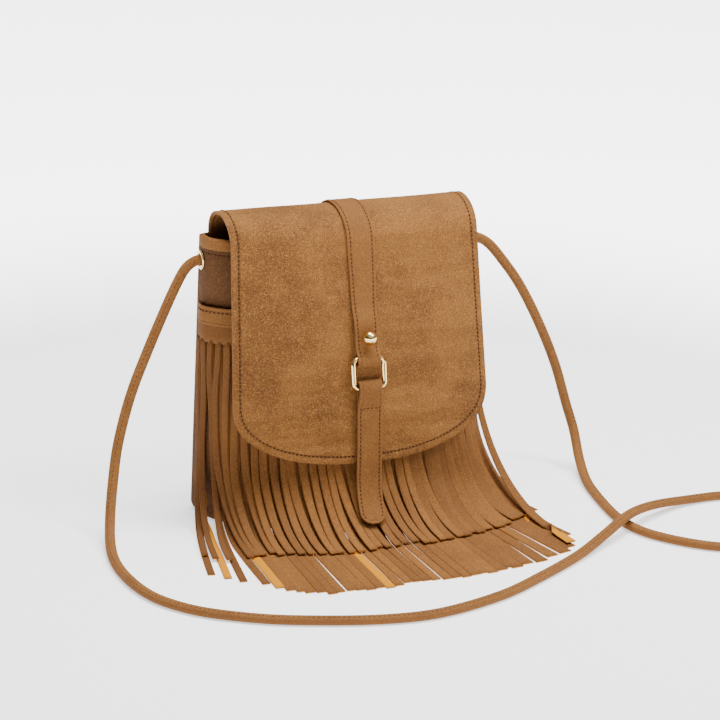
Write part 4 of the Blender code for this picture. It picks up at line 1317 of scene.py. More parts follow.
@dataclass(frozen=True)
class FlapForm:
    """The flap's surface: from its root over the roll, and down the front to its round lower edge."""

    form: PouchForm
    lining: float = 0.0008
    suede: float = 0.0016
    top_half_width: float = 0.0925
    low_half_width: float = 0.0965
    corner_z: float = 0.092
    low_z: float = 0.048
    corner_power: float = 2.4
    bow_low: float = 0.0116
    bow_mouth: float = 0.0062
    standoff: float = 0.0055
    low_lift: float = 0.0010
    roll_front_z: float = 0.202
    roll_rise_back: float = 0.0225
    roll_rise_front: float = 0.0235
    slope_step: float = 0.01
    unevenness: float = 0.00035
    lap_rows: int = 5
    roll_rows: int = 40
    hang_rows: int = 70

    @property
    def outside(self) -> float:
        """The offset of the outer face from the inner face of the lining."""
        return self.lining + CLEARANCE + self.suede

    def half_width(self, z: Array) -> Array:
        """Half the flap's width at a height, on a straight taper down to its corners."""
        share = np.clip((self.form.height - z) / (self.form.height - self.corner_z), 0.0, 1.0)
        return self.top_half_width + (self.low_half_width - self.top_half_width) * share

    def edge_z(self, side: Array) -> Array:
        """Find the lower edge's height: a superellipse below the corners' level.

        Args:
            side: From -1 at the left edge to 1 at the right one.

        Returns:
            The heights.
        """
        power = self.corner_power
        drop = (1 - np.minimum(1.0, np.abs(side)) ** power) ** (1 / power)
        return self.corner_z - (self.corner_z - self.low_z) * drop

    def front_y(self, side: Array, z: Array) -> Array:
        """Find the inner face where the flap hangs: a straight slope, bowed back by the square of the side.

        Args:
            side: From -1 at the left edge to 1 at the right one.
            z: The height.

        Returns:
            The face's y.
        """
        fall = (self.form.height - z) / (self.form.height - self.low_z)
        middle = self.form.seam_y - self.form.depth(z) - self.standoff - self.low_lift * fall
        bow = self.bow_mouth + (self.bow_low - self.bow_mouth) * fall
        return middle + bow * side**2

    def profiles(self, sides: Array, offset: Array | float, lap: float = 0.0) -> Array:
        """The flap's lines from root to lower edge.

        The roll is a cubic curve with four controls: the root, a point above it, a point up the front's
        slope, and the front's top. Below it each line is straight. The whole is moved along its own normal.

        Args:
            sides: From -1 at the left edge to 1 at the right one.
            offset: How far outside the lining's inner face.
            lap: How far the root laps down over the back panel.

        Returns:
            Points (x, y, z) in rows down each line and columns from side to side.
        """
        sides = np.asarray(sides)
        zeros = np.zeros_like(sides)
        root_y = zeros + self.form.seam_y + self.form.seam_to_back - self.suede
        root = np.stack([root_y, zeros + self.form.height + CLEARANCE], axis=-1)
        top = zeros + self.roll_front_z
        below = top - self.slope_step
        front = np.stack([self.front_y(sides, top), top], axis=-1)
        lower = np.stack([self.front_y(sides, below), below], axis=-1)
        uphill = unit(front - lower)
        above = root + np.array((0.0, self.roll_rise_back))
        ahead = front + uphill * self.roll_rise_front
        t = np.linspace(0.0, 1.0, self.roll_rows)[:, None, None]
        roll = (1 - t) ** 3 * root + 3 * (1 - t) ** 2 * t * above + 3 * (1 - t) * t**2 * ahead + t**3 * front
        fall = np.linspace(0.0, 1.0, self.hang_rows + 1)[1:, None]
        z = self.roll_front_z + (self.edge_z(sides)[None, :] - self.roll_front_z) * fall
        hanging = np.stack([self.front_y(sides[None, :], z), z], axis=-1)
        line = np.concatenate([roll, hanging])
        if lap > 0:
            sewn = np.broadcast_to(root, (self.lap_rows, *root.shape)).copy()
            sewn[..., 1] -= np.linspace(lap, 0.0, self.lap_rows + 1)[:-1, None]
            line = np.concatenate([sewn, line])
        along = unit(np.gradient(line, axis=0))
        along[: self.lap_rows + 1 if lap > 0 else 1] = (0.0, 1.0)
        normal = np.stack([along[..., 1], -along[..., 0]], axis=-1)
        x = sides[None, :] * self.half_width(line[..., 1])
        wave = self.unevenness * np.sin(52 * x + 0.6) * np.sin(34 * line[..., 1] + 30 * x)
        fade = ramp(np.arange(len(line)), 6, 20)[:, None]
        moved = line + normal * (offset + wave * fade)[..., None]
        return np.concatenate([x[..., None], moved], axis=-1)

    def frame_at(self, z: float) -> tuple[Array, Array, Array]:
        """Find a point in the middle of the outer face, as (y, z), and how the face lies there.

        Args:
            z: The point's height on the inner face.

        Returns:
            The point, and the unit ways down the face and outwards.
        """
        heights = (z, z - self.slope_step)
        upper, lower = (np.array((float(self.front_y(np.array(0.0), np.array(at))), at)) for at in heights)
        down = unit(lower - upper)
        out = np.array((down[1], -down[0]))
        return upper + out * self.outside, down, out


@dataclass
class Flap:
    """The flap's suede and its underside, with the row of stitches round its edge."""

    shape: FlapForm
    seam: float = 0.005
    lap: float = 0.010
    lining_share: float = 0.992
    rim_points: int = 700
    outline_points: int = 900
    bare_rows: int = 8
    thread_lift: float = 0.0001
    stitches: StitchRow = StitchRow(pitch=0.0029, length=0.0019)
    columns: int = 101

    def sides(self) -> Array:
        """Sideways shares that lie closer together near the flap's edges."""
        return np.sin(np.linspace(-math.pi / 2, math.pi / 2, self.columns))

    def rim(self, grid: Array) -> Array:
        """Measure how far each grid point is from the flap's outline.

        Args:
            grid: The flap's outer face. Its side columns and its last row are the outline.

        Returns:
            The distance to the outline's nearest point.
        """
        outline = np.concatenate([grid[:, 0], grid[-1], grid[::-1, -1]])
        outline = resample(outline, self.rim_points)
        flat = grid.reshape(-1, 3)
        squares = (flat**2).sum(1)[:, None] + (outline**2).sum(1)[None, :] - 2 * flat @ outline.T
        return np.sqrt(np.maximum(squares.min(axis=1), 0.0)).reshape(grid.shape[:2])

    def edge_stitches(self) -> Piece:
        """Stitches along a line that keeps one distance from the flap's outline.

        The outline is drawn flat, with the distance down the flap as its second axis, moved inwards along its
        normal, spaced evenly, and laid back on the flap's surface.

        Returns:
            The stitches.
        """
        fine_sides = np.sin(np.linspace(-math.pi / 2, math.pi / 2, 401))
        grid = self.shape.profiles(fine_sides, self.shape.outside)
        down = run_down(grid[..., 1:])
        left = np.stack([grid[:, 0, 0], down[:, 0]], axis=1)
        foot = np.stack([grid[-1, :, 0], down[-1]], axis=1)
        right = np.stack([grid[::-1, -1, 0], down[::-1, -1]], axis=1)
        hem = np.concatenate([left[self.bare_rows:], foot[1:-1], right[:-self.bare_rows]])
        outline = resample(hem, self.outline_points)
        ahead = unit(np.gradient(soften(outline, 6), axis=0))
        inward = np.stack([ahead[:, 1], -ahead[:, 0]], axis=1)
        line = soften(outline + inward * self.seam, 12)
        count = int(run_along(line)[-1] / self.stitches.pitch)
        line = resample(line, count)
        middle = len(fine_sides) // 2
        width = np.interp(line[:, 1], down[:, middle], self.shape.half_width(grid[:, middle, 2]))
        side = np.clip(line[:, 0] / width, -1, 1)
        columns = self.shape.profiles(side, self.shape.outside + self.thread_lift)
        rows = np.arange(columns.shape[0])
        own = run_down(columns[..., 1:])
        at = np.array([np.interp(line[i, 1], own[:, i], rows) for i in range(count)])
        low = np.clip(at.astype(int), 0, len(rows) - 2)
        part = (at - low)[:, None]
        pick = np.arange(count)
        places = columns[low, pick] * (1 - part) + columns[low + 1, pick] * part
        slope = unit(columns[low + 1, pick] - columns[low, pick])
        outwards = np.stack([np.zeros(count), slope[:, 2], -slope[:, 1]], axis=1)
        return self.stitches.sew("flap_stitches", places, unit(outwards))

    def build(self, finishes: Finishes) -> None:
        """Make the flap's pieces.

        Args:
            finishes: The bag's finishes.
        """
        inner = self.shape.lining + CLEARANCE
        outer = self.shape.profiles(self.sides(), self.shape.outside, self.lap)
        under = self.shape.profiles(self.sides(), inner, self.lap)
        suede = make_sheet("flap_suede", outer, under, self.rim(outer))
        lining_out = self.shape.profiles(self.sides(), self.shape.lining)
        lining_in = self.shape.profiles(self.sides(), 0.0)
        for grid in (lining_out, lining_in):
            grid[..., 0] *= self.lining_share
        lining = make_sheet("flap_underside", lining_out, lining_in)
        finish_piece(suede, finishes.flap, "suede", None, "flap")
        finish_piece(lining, finishes.trim, "smooth_suede", None, "flap_lining")
        finish_piece(self.edge_stitches(), finishes.thread, "smooth_suede", None)


@dataclass
class StrapAndTab:
    """The centre strap that loops over the ring's top bar, and the tab that loops over its bottom bar."""

    shape: FlapForm
    half_width: float = 0.0085
    thickness: float = 0.0015
    wire_radius: float = 0.0017
    ring_top_z: float = 0.1212
    ring_drop: float = 0.0210
    plate: float = 0.0005
    slack: float = 0.0024
    lifts_above: float = 0.038
    climb: float = 0.0078
    tail_step: float = 0.004
    row_starts: float = 0.004
    row_stops_before: float = 0.002
    thread_sink: float = 0.00005
    strap_tail: float = 0.021
    tab_tail: float = 0.024
    tab_length: float = 0.0985
    tab_bends_at_z: float = 0.043
    tab_bend_radius: float = 0.045
    tab_skew: float = 0.007
    skew_power: float = 1.6
    settles_over: float = 0.72
    blunt_tip: float = 0.985
    row_ends_before: float = 0.0042
    strap_gain: float = 0.0018
    strap_gains_over: float = 0.09
    tab_gain: float = 0.0009
    tab_gains_over: float = 0.02
    seam: float = 0.0022
    stitches: StitchRow = StitchRow(width=0.00095)
    cross_stitches: int = 4
    sides: int = 16

    @property
    def rest(self) -> float:
        """The strap's middle above the flap where it lies on it."""
        return CLEARANCE + self.thickness / 2

    @property
    def tail(self) -> float:
        """The tail's middle above the flap, over the stud's plate."""
        return 2 * CLEARANCE + self.plate + self.thickness / 2

    @property
    def bar(self) -> float:
        """The ring's wire above the flap."""
        return self.tail + self.thickness / 2 + CLEARANCE + self.wire_radius

    @property
    def front(self) -> float:
        """The strap's middle above the flap where it passes over the wire."""
        return self.bar + self.wire_radius + CLEARANCE + self.thickness / 2

    @property
    def stacked(self) -> float:
        """The strap's middle above the flap where it lies on its own tail."""
        return self.tail + self.thickness + CLEARANCE

    def loop(self, bottom: float, sign: int) -> Array:
        """Half a circle from the front layer to the tail.

        Args:
            bottom: How far down its centre lies.
            sign: 1 where it passes under a bar and -1 where it passes over one.

        Returns:
            (down, out) pairs.
        """
        radius = (self.front - self.tail) / 2
        angle = np.linspace(0.0, math.pi, 15)[1:-1]
        out = (self.front + self.tail) / 2 + radius * np.cos(angle)
        return np.stack([bottom + sign * radius * np.sin(angle), out], axis=1)

    def ribbon(self, name: str, line: Array, widths: Array, shift: Array) -> Piece:
        """A strap of one thickness along a line.

        Args:
            name: The piece's name.
            line: The strap's middle line (y, z).
            widths: Its half width at each point.
            shift: Its sideways shift at each point.

        Returns:
            The strap.
        """
        along = unit(np.gradient(line, axis=0))
        path = np.concatenate([shift[:, None], line], axis=1)
        across = np.tile((1.0, 0.0, 0.0), (len(line), 1))
        normal = np.stack([np.zeros(len(line)), along[:, 1], -along[:, 0]], axis=1)
        half = self.thickness / 2
        points, rim, under = carry_section(path, across, normal, widths, half, self.sides, SQUARE)
        return put_mesh(name, points, tube_quads(len(line), self.sides), {"rim": rim, "under": under})

    def edge_rows(self, name: str, line: Array, shift: Array, widths: Array, first: float, last: float,
                  cross_at: float | None = None) -> Piece:
        """A row of stitches near each edge of a strap's front face, and one across it where it is sewn down.

        Args:
            name: The piece's name.
            line: The strap's middle line (y, z).
            shift: Its sideways shift at each point.
            widths: Its half width at each point.
            first: Where the rows begin, as a distance along the line.
            last: Where they end.
            cross_at: The distance along the line of the row across, if there is one.

        Returns:
            The stitches as one object.
        """
        run = run_along(line)
        along = unit(np.gradient(line, axis=0))
        normal = np.stack([along[:, 1], -along[:, 0]], axis=1)
        face = line + normal * (self.thickness / 2 - self.thread_sink)
        places, normals, breaks = [], [], []

        def lay(at: Array, x: Array) -> None:
            """Add stitches at distances along the line, at their own sideways places."""
            breaks.append(sum(len(part) for part in places))
            places.append(np.column_stack([x + np.interp(at, run, shift), read_at(at, run, face)]))
            normals.append(np.column_stack([np.zeros(len(at)), read_at(at, run, normal)]))

        for side in (-1, 1):
            at = np.arange(first, last, self.stitches.pitch)
            lay(at, side * (np.interp(at, run, widths) - self.seam))
        if cross_at is not None:
            half = self.half_width - self.seam - self.stitches.pitch * 0.6
            lay(np.full(self.cross_stitches, cross_at), np.linspace(-half, half, self.cross_stitches))
        return self.stitches.sew(name, np.concatenate(places), unit(np.concatenate(normals)), breaks[1:])

    def centre_line(self) -> tuple[Array, float]:
        """Draw the centre strap from the roll down to the ring, round its top bar and up behind.

        Returns:
            Its middle line, and the distance along it at which its front reaches the loop.
        """
        corner, down, out = self.shape.frame_at(self.ring_top_z)
        over = self.shape.profiles(np.array([0.0]), self.shape.outside + self.rest)[4:40, 0, 1:]
        lifted = self.ring_top_z + self.lifts_above
        flat = []
        for z in np.linspace(self.shape.roll_front_z, lifted, 12)[1:]:
            point, _, _ = self.shape.frame_at(float(z))
            flat.append(point + out * self.rest)
        start = (lifted - self.ring_top_z) / down[1]
        step_up = -self.strap_tail - self.tail_step
        at = np.linspace(start, 0.0, 40)[1:]
        level = self.rest + (self.stacked - self.rest) * ramp(at, start, step_up - start)
        level = level + (self.front - self.stacked) * ramp(at, -self.climb, self.climb)
        front = corner + down * at[:, None] + out * level[:, None]
        before_loop = np.concatenate([over, np.array(flat), front])
        loop = self.loop(self.slack, 1)
        turned = corner + down * loop[:, :1] + out * loop[:, 1:]
        back = np.linspace(self.slack / 2, -self.strap_tail, 14)[:, None]
        tail = corner + down * back + out * self.tail
        reached = float(run_along(before_loop)[-1])
        whole = np.concatenate([before_loop, turned, tail])
        return soften(resample(whole, 190), 2), reached

    def tab_line(self) -> tuple[Array, Array, float]:
        """Draw the tab from the end of its tail, round the ring's bottom bar and down in front.

        Returns:
            Its middle line, its sideways shift, and the distance along the line at which its front begins.
        """
        corner, down, out = self.shape.frame_at(self.ring_top_z)
        corner = corner + down * self.ring_drop
        back = np.linspace(self.tab_tail, -self.slack / 2, 16)[:, None]
        tail = corner + down * back + out * self.tail
        loop = self.loop(-self.slack, -1)[::-1]
        turned = corner + down * loop[:, :1] + out * loop[:, 1:]
        settled = self.tab_tail * self.settles_over
        at = np.linspace(0.0, settled, 16)[:, None]
        level = self.front + (self.stacked - self.front) * ramp(at, 0.0, settled)
        front = corner + down * at + out * level
        bend_from = (corner[1] - self.tab_bends_at_z) / -down[1]
        flat = corner + down * np.linspace(settled, bend_from, 16)[1:, None] + out * self.stacked
        turned_by = (self.tab_length - bend_from) / self.tab_bend_radius
        angle = np.linspace(0.0, turned_by, 26)[1:, None]
        bent = flat[-1] + self.tab_bend_radius * (down * np.sin(angle) + out * (1 - np.cos(angle)))
        before = np.concatenate([tail, turned])
        line = soften(resample(np.concatenate([before, front, flat, bent]), 170), 2)
        hang = np.maximum(0.0, (line - corner) @ down)
        shift = -self.tab_skew * (hang / self.tab_length) ** self.skew_power
        return line, shift, float(run_along(before)[-1])

    def build(self, finishes: Finishes) -> None:
        """Make the strap, the tab and their stitches.

        Args:
            finishes: The bag's finishes.
        """
        line, reached = self.centre_line()
        shift = np.zeros(len(line))
        widths = self.half_width + self.strap_gain * ramp(run_along(line), reached, -self.strap_gains_over)
        strap = self.ribbon("centre_strap_suede", line, widths, shift)
        last = reached - self.row_stops_before
        rows = self.edge_rows("centre_strap_stitches", line, shift, widths, self.row_starts, last)
        finish_piece(strap, finishes.trim, "smooth_suede", None, "centre_strap")
        finish_piece(rows, finishes.thread, "smooth_suede", None)
        line, shift, begins = self.tab_line()
        run = run_along(line)
        wide = self.half_width + self.tab_gain * ramp(run, begins, self.tab_gains_over)
        near_tip = np.clip(wide - (run[-1] - run), 0.0, wide * self.blunt_tip)
        widths = np.sqrt(wide**2 - near_tip**2)
        tab = self.ribbon("hanging_tab_suede", line, widths, shift)
        sewn = begins + self.tab_tail * self.settles_over
        rows = self.edge_rows(
            "hanging_tab_stitches", line, shift, np.maximum(widths, self.seam), sewn,
            run[-1] - self.row_ends_before, sewn,
        )
        finish_piece(tab, finishes.trim, "smooth_suede", Body.TAB, "hanging_tab")
        finish_piece(rows, finishes.thread, "smooth_suede", Body.TAB)


def turned_piece(name: str, profile: Array, centre: Array, axis: Array, steps: int = 48) -> Piece:
    """A closed piece turned on a lathe.

    Args:
        name: The piece's name.
        profile: A closed loop of (radius, height) pairs, or an open one that starts and ends on the axis.
        centre: The axis's foot.
        axis: The axis's direction.
        steps: Points round each turn.

    Returns:
        The piece: every profile point goes round a circle of its radius at its height.
    """
    axis = unit(np.asarray(axis, dtype=float))
    side = unit(np.cross(axis, np.array((0.0, 0.6, 0.8))))
    other = np.cross(axis, side)
    angle = 2 * math.pi * np.arange(steps) / steps
    round_way = np.cos(angle)[:, None] * side + np.sin(angle)[:, None] * other
    radius, height = profile[:, 0], profile[:, 1]
    points = centre + radius[:, None, None] * round_way[None] + height[:, None, None] * axis
    closed = radius[0] > 1e-6
    quads = tube_quads(len(profile), steps, capped=not closed)
    return put_mesh(name, points.reshape(-1, 3), quads)


def rounded_profile(corners: Array, radius: float, steps: int = 4) -> Array:
    """A line of points with its inner corners cut to short curves.

    Each corner becomes a quadratic curve from a point before it to a point after it, at most a radius away.

    Args:
        corners: The sharp corners, as (radius, height) pairs.
        radius: How far from the corner the curve begins.
        steps: Points on each curve.

    Returns:
        The rounded line.
    """
    points = [corners[:1]]
    for before, corner, after in zip(corners, corners[1:], corners[2:]):
        start = corner + (before - corner) * min(0.45, radius / np.linalg.norm(before - corner))
        end = corner + (after - corner) * min(0.45, radius / np.linalg.norm(after - corner))
        t = np.linspace(0.0, 1.0, steps)[:, None]
        points.append((1 - t) ** 2 * start + 2 * (1 - t) * t * corner + t**2 * end)
    return np.concatenate([*points, corners[-1:]])


@dataclass
class Hardware:
    """The ring, the ball stud, the eyelets and the pieces inside that hold them."""

    strap: StrapAndTab
    form: PouchForm
    ring_half_width: float = 0.0116
    ring_corner: float = 0.004
    ring_points: int = 120
    wire_sides: int = 20
    stud_above: float = 0.0148
    ball_radius: float = 0.0052
    foot_radius: float = 0.0034
    foot_height: float = 0.0010
    ball_seat: float = 0.62
    neck_degrees: float = -38.0
    soft_edge: float = 0.0003
    foot_shoulder: float = 0.6
    foot_top: float = 0.9
    dome_power: float = 0.8
    post_radius: float = 0.0014
    level_rise: float = 0.0004
    bore: float = 0.0042
    wall: float = 0.0005
    flange_radius: float = 0.0072
    flange_height: float = 0.0012
    lining_stack: float = 0.0033
    washer: float = 0.0006

    def ring(self) -> Piece:
        """The wire ring: a circle carried round a rectangle with quarter-circle corners.

        Returns:
            The ring.
        """
        corner, down, out = self.strap.shape.frame_at(self.strap.ring_top_z)
        top = corner + out * self.strap.bar
        side = self.ring_half_width - self.ring_corner
        low, high = self.strap.ring_drop - self.ring_corner, self.ring_corner
        quarter = np.radians(np.linspace(0.0, 90.0, 14))
        places = []
        for x, distance, first in ((side, high, -90), (side, low, 0), (-side, low, 90), (-side, high, 180)):
            angle = quarter + math.radians(first)
            turned = np.stack([np.cos(angle), np.sin(angle)], axis=1)
            places.append(np.array((x, distance)) + self.ring_corner * turned)
        flat = np.concatenate(places)
        closed = np.concatenate([flat, flat[:1]])
        flat = resample(closed, self.ring_points + 1)[:-1]
        centre_line = np.concatenate([flat[:, :1], top + down * flat[:, 1:]], axis=1)
        ahead = unit(np.roll(centre_line, -1, axis=0) - np.roll(centre_line, 1, axis=0))
        normal = in_middle(out)
        across = np.cross(ahead, normal)
        angle = 2 * math.pi * np.arange(self.wire_sides) / self.wire_sides
        radius = self.strap.wire_radius
        points = (
            centre_line[:, None]
            + radius * np.cos(angle)[None, :, None] * across[:, None]
            + radius * np.sin(angle)[None, :, None] * normal
        )
        quads = tube_quads(self.ring_points, self.wire_sides, False)
        return put_mesh("wire_ring", points.reshape(-1, 3), quads)

    def stud(self) -> Piece:
        """The ball stud: a post, a round foot with a soft edge, a neck and a ball.

        Returns:
            The stud.
        """
        corner, down, out = self.strap.shape.frame_at(self.strap.ring_top_z)
        point = corner - down * self.stud_above
        foot = self.strap.stacked + self.strap.thickness / 2 + CLEARANCE + self.level_rise
        ball = foot + self.foot_height + self.ball_radius * self.ball_seat
        low = 2 * CLEARANCE + self.strap.plate
        shoulder, top = foot + self.foot_height * self.foot_shoulder, foot + self.foot_height
        edge = [
            (0.0, low), (self.post_radius, low), (self.post_radius, foot), (self.foot_radius, foot),
            (self.foot_radius, shoulder), (self.foot_radius * self.foot_top, top),
        ]
        angle = np.radians(np.linspace(self.neck_degrees, 90, 30))
        arc = np.stack([np.cos(angle), np.sin(angle)], axis=1)
        round_part = np.array((0.0, ball)) + self.ball_radius * arc
        stem = rounded_profile(np.concatenate([edge, round_part[:1]]), self.soft_edge)
        section = np.concatenate([stem[:-1], round_part])
        section[0, 0] = section[-1, 0] = 1e-7
        return turned_piece("gold_ball_stud", section, in_middle(point), in_middle(out), 56)

    def eyelet(self, side: int, word: str) -> Piece:
        """An eyelet: a thin barrel with a domed flange, turned about X.

        Args:
            side: -1 for the left one and 1 for the right one.
            word: The side's name.

        Returns:
            The eyelet.
        """
        barrel = self.bore + self.wall
        end = -(self.lining_stack + CLEARANCE + self.washer)
        angle = np.linspace(0.0, math.pi, 14)
        middle = (self.flange_radius + self.bore) / 2
        half = (self.flange_radius - self.bore) / 2
        height = CLEARANCE + self.flange_height * np.sin(angle) ** self.dome_power
        dome = np.stack([middle + half * np.cos(angle), height], axis=1)
        section = np.concatenate([[(self.bore, end), (barrel, end), (barrel, CLEARANCE)], dome])
        centre = np.array((side * self.form.eyelet_x, self.form.seam_y, self.form.eyelet_z))
        return turned_piece(f"gold_eyelet_{word}", section, centre, np.array((float(side), 0.0, 0.0)))

    def build(self, finishes: Finishes) -> None:
        """Make the hardware and dress the pieces that stay as they are.

        Args:
            finishes: The bag's finishes.
        """
        finish_piece(self.ring(), finishes.gold, "pale_gold", Body.RING, "strap_ring")
        finish_piece(self.stud(), finishes.gold, "pale_gold", Body.FLAP, "ball_stud")
        for side, word in SIDES:
            eyelet = self.eyelet(side, word)
            finish_piece(eyelet, finishes.gold, "pale_gold", Body.POUCH, f"eyelet_{word}")
            dress_node(f"eyelet_washer_{word}", finishes.gold_satin)
        for node in ("snap_socket", "snap_button"):
            dress_node(node, finishes.gold_satin)
        dress_node("stud_back", finishes.steel)


@dataclass
class ShoulderStrap:
    """The long shoulder strap, a folded cord of suede with one row of stitches, in the lie of its solid."""

    form: PouchForm
    radius: float = 0.0036
    half_thickness: float = 0.0029
    floor: float = 0.0037
    inside: float = 0.0065
    knot_radius: float = 0.0075
    knot_length: float = 0.013
    knot_swell: float = 0.12
    knot_twist: float = 1.7
    knot_rings: int = 30
    knot_sides: int = 40
    rings: int = 620
    sides: int = 16
    row_across: float = 0.42
    row_out: float = 0.93
    bare_rings: int = 12
    per_span: int = 24
    lifts: Pair = (0.06, 0.06)
    stands: Pair = (0.008, 0.05)
    squareness: float = 2.6
    stitches: StitchRow = StitchRow(0.0021, 0.00045, 0.00025, 0.0034)

    def route(self) -> Array:
        """Lay the strap's way, as in the solid.

        Returns:
            Points, listed from the left eyelet round to the right one.
        """
        floor = self.floor
        over = floor + 2 * self.radius + 4 * CLEARANCE
        seam = self.form.eyelet_x + 0.003
        y, z = self.form.seam_y, self.form.eyelet_z
        return np.array([
            (-seam + 0.003 + self.inside, y, z), (-seam, y, z), (-0.1135, 0.022, 0.1825),
            (-0.121, 0.022, 0.170), (-0.131, 0.021, 0.150), (-0.143, 0.020, 0.124), (-0.156, 0.018, 0.094),
            (-0.1665, 0.014, 0.062), (-0.173, 0.006, 0.0365), (-0.180, -0.010, 0.017),
            (-0.187, -0.034, 0.0065), (-0.191, -0.060, floor), (-0.191, -0.088, floor),
            (-0.187, -0.113, floor), (-0.179, -0.133, floor), (-0.162, -0.155, floor),
            (-0.135, -0.175, floor), (-0.107, -0.189, floor), (-0.059, -0.205, floor),
            (-0.017, -0.209, floor), (0.032, -0.197, floor), (0.072, -0.177, floor),
            (0.113, -0.153, floor + 0.0006), (0.143, -0.134, floor + 0.0045), (0.172, -0.115, over),
            (0.201, -0.098, floor + 0.0055), (0.235, -0.086, floor + 0.0008), (0.270, -0.086, floor),
            (0.302, -0.100, floor), (0.318, -0.130, floor), (0.308, -0.162, floor), (0.280, -0.181, floor),
            (0.245, -0.184, floor), (0.213, -0.171, floor), (0.190, -0.150, floor), (0.1755, -0.126, floor),
            (0.172, -0.100, floor), (0.176, -0.066, floor), (0.183, -0.030, floor + 0.0010),
            (0.1915, 0.000, 0.0115), (0.194, 0.016, 0.029), (0.189, 0.022, 0.050), (0.179, 0.023, 0.081),
            (0.164, 0.023, 0.114), (0.146, 0.022, 0.146), (0.129, 0.022, 0.169), (0.117, 0.022, 0.182),
            (seam, y, z), (seam - 0.003 - self.inside, y, z),
        ])

    def build(self, finishes: Finishes) -> None:
        """Args:
            finishes: The bag's finishes.
        """
        line = soften(resample(spline(self.route(), self.per_span), self.rings), 4)
        line[:, 2] -= (self.radius - self.half_thickness) * (1 - ramp(line[:, 2], *self.lifts))
        ahead = unit(np.gradient(line, axis=0))
        standing = ramp(line[:, 2], *self.stands)
        face = np.stack([np.zeros(len(line)), -standing, 1 - standing], axis=1)
        normal = unit(face - ahead * np.sum(face * ahead, axis=1, keepdims=True))
        across = np.cross(ahead, normal)
        widths = np.full(len(line), self.radius)
        points, rim, under = carry_section(
            line, across, normal, widths, self.half_thickness, self.sides, self.squareness
        )
        marks = {"rim": rim, "under": under}
        strap = put_mesh("shoulder_strap_suede", points, tube_quads(len(line), self.sides), marks)
        length = float(run_along(line)[-1])
        row = line + across * (self.radius * self.row_across) + normal * (self.half_thickness * self.row_out)
        sewn = slice(self.bare_rings, -self.bare_rings)
        places = resample(row[sewn], int(length / self.stitches.pitch))
        index = np.arange(len(row[sewn]))
        up = read_at(np.linspace(0, index[-1], len(places)), index, normal[sewn])
        stitches = self.stitches.sew("shoulder_strap_stitches", places, unit(up))
        finish_piece(strap, finishes.strap, "smooth_suede", Body.POUCH, "shoulder_strap")
        finish_piece(stitches, finishes.thread, "smooth_suede", Body.POUCH)
        knots = [self.knot(side, word, finishes) for side, word in SIDES]
        logger.info("shoulder strap: %.3f m", length)

    def knot(self, side: int, word: str, finishes: Finishes) -> Piece:
        """A plain overhand knot's bulk: a ball whose surface is wrapped by a slow spiral swelling.

        Args:
            side: -1 for the left one and 1 for the right one.
            word: The side's name.
            finishes: The bag's finishes.

        Returns:
            The knot.
        """
        face = side * (self.form.eyelet_x - self.inside - CLEARANCE)
        turn = np.linspace(0.0, math.pi, self.knot_rings)
        round_way = np.linspace(0.0, 2 * math.pi, self.knot_sides, endpoint=False)
        spiral = round_way[None, :] + self.knot_twist * turn[:, None]
        swell = 1 - self.knot_swell * np.abs(np.sin(spiral)) ** 2
        radius = self.knot_radius * np.maximum(np.sin(turn), 1e-4)[:, None] ** 0.7 * swell
        x = face - side * self.knot_length * (1 - np.cos(turn))[:, None] / 2 + 0 * radius
        y = self.form.seam_y + radius * np.cos(round_way)
        z = self.form.eyelet_z + radius * np.sin(round_way)
        points = np.stack([x, y, z], axis=-1).reshape(-1, 3)
        marks = {"rim": np.full(len(points), NO_RIM)}
        knot = put_mesh(f"strap_end_knot_{word}", points, tube_quads(self.knot_rings, self.knot_sides), marks)
        return finish_piece(knot, finishes.strap, "smooth_suede", Body.POUCH, f"strap_knot_{word}")


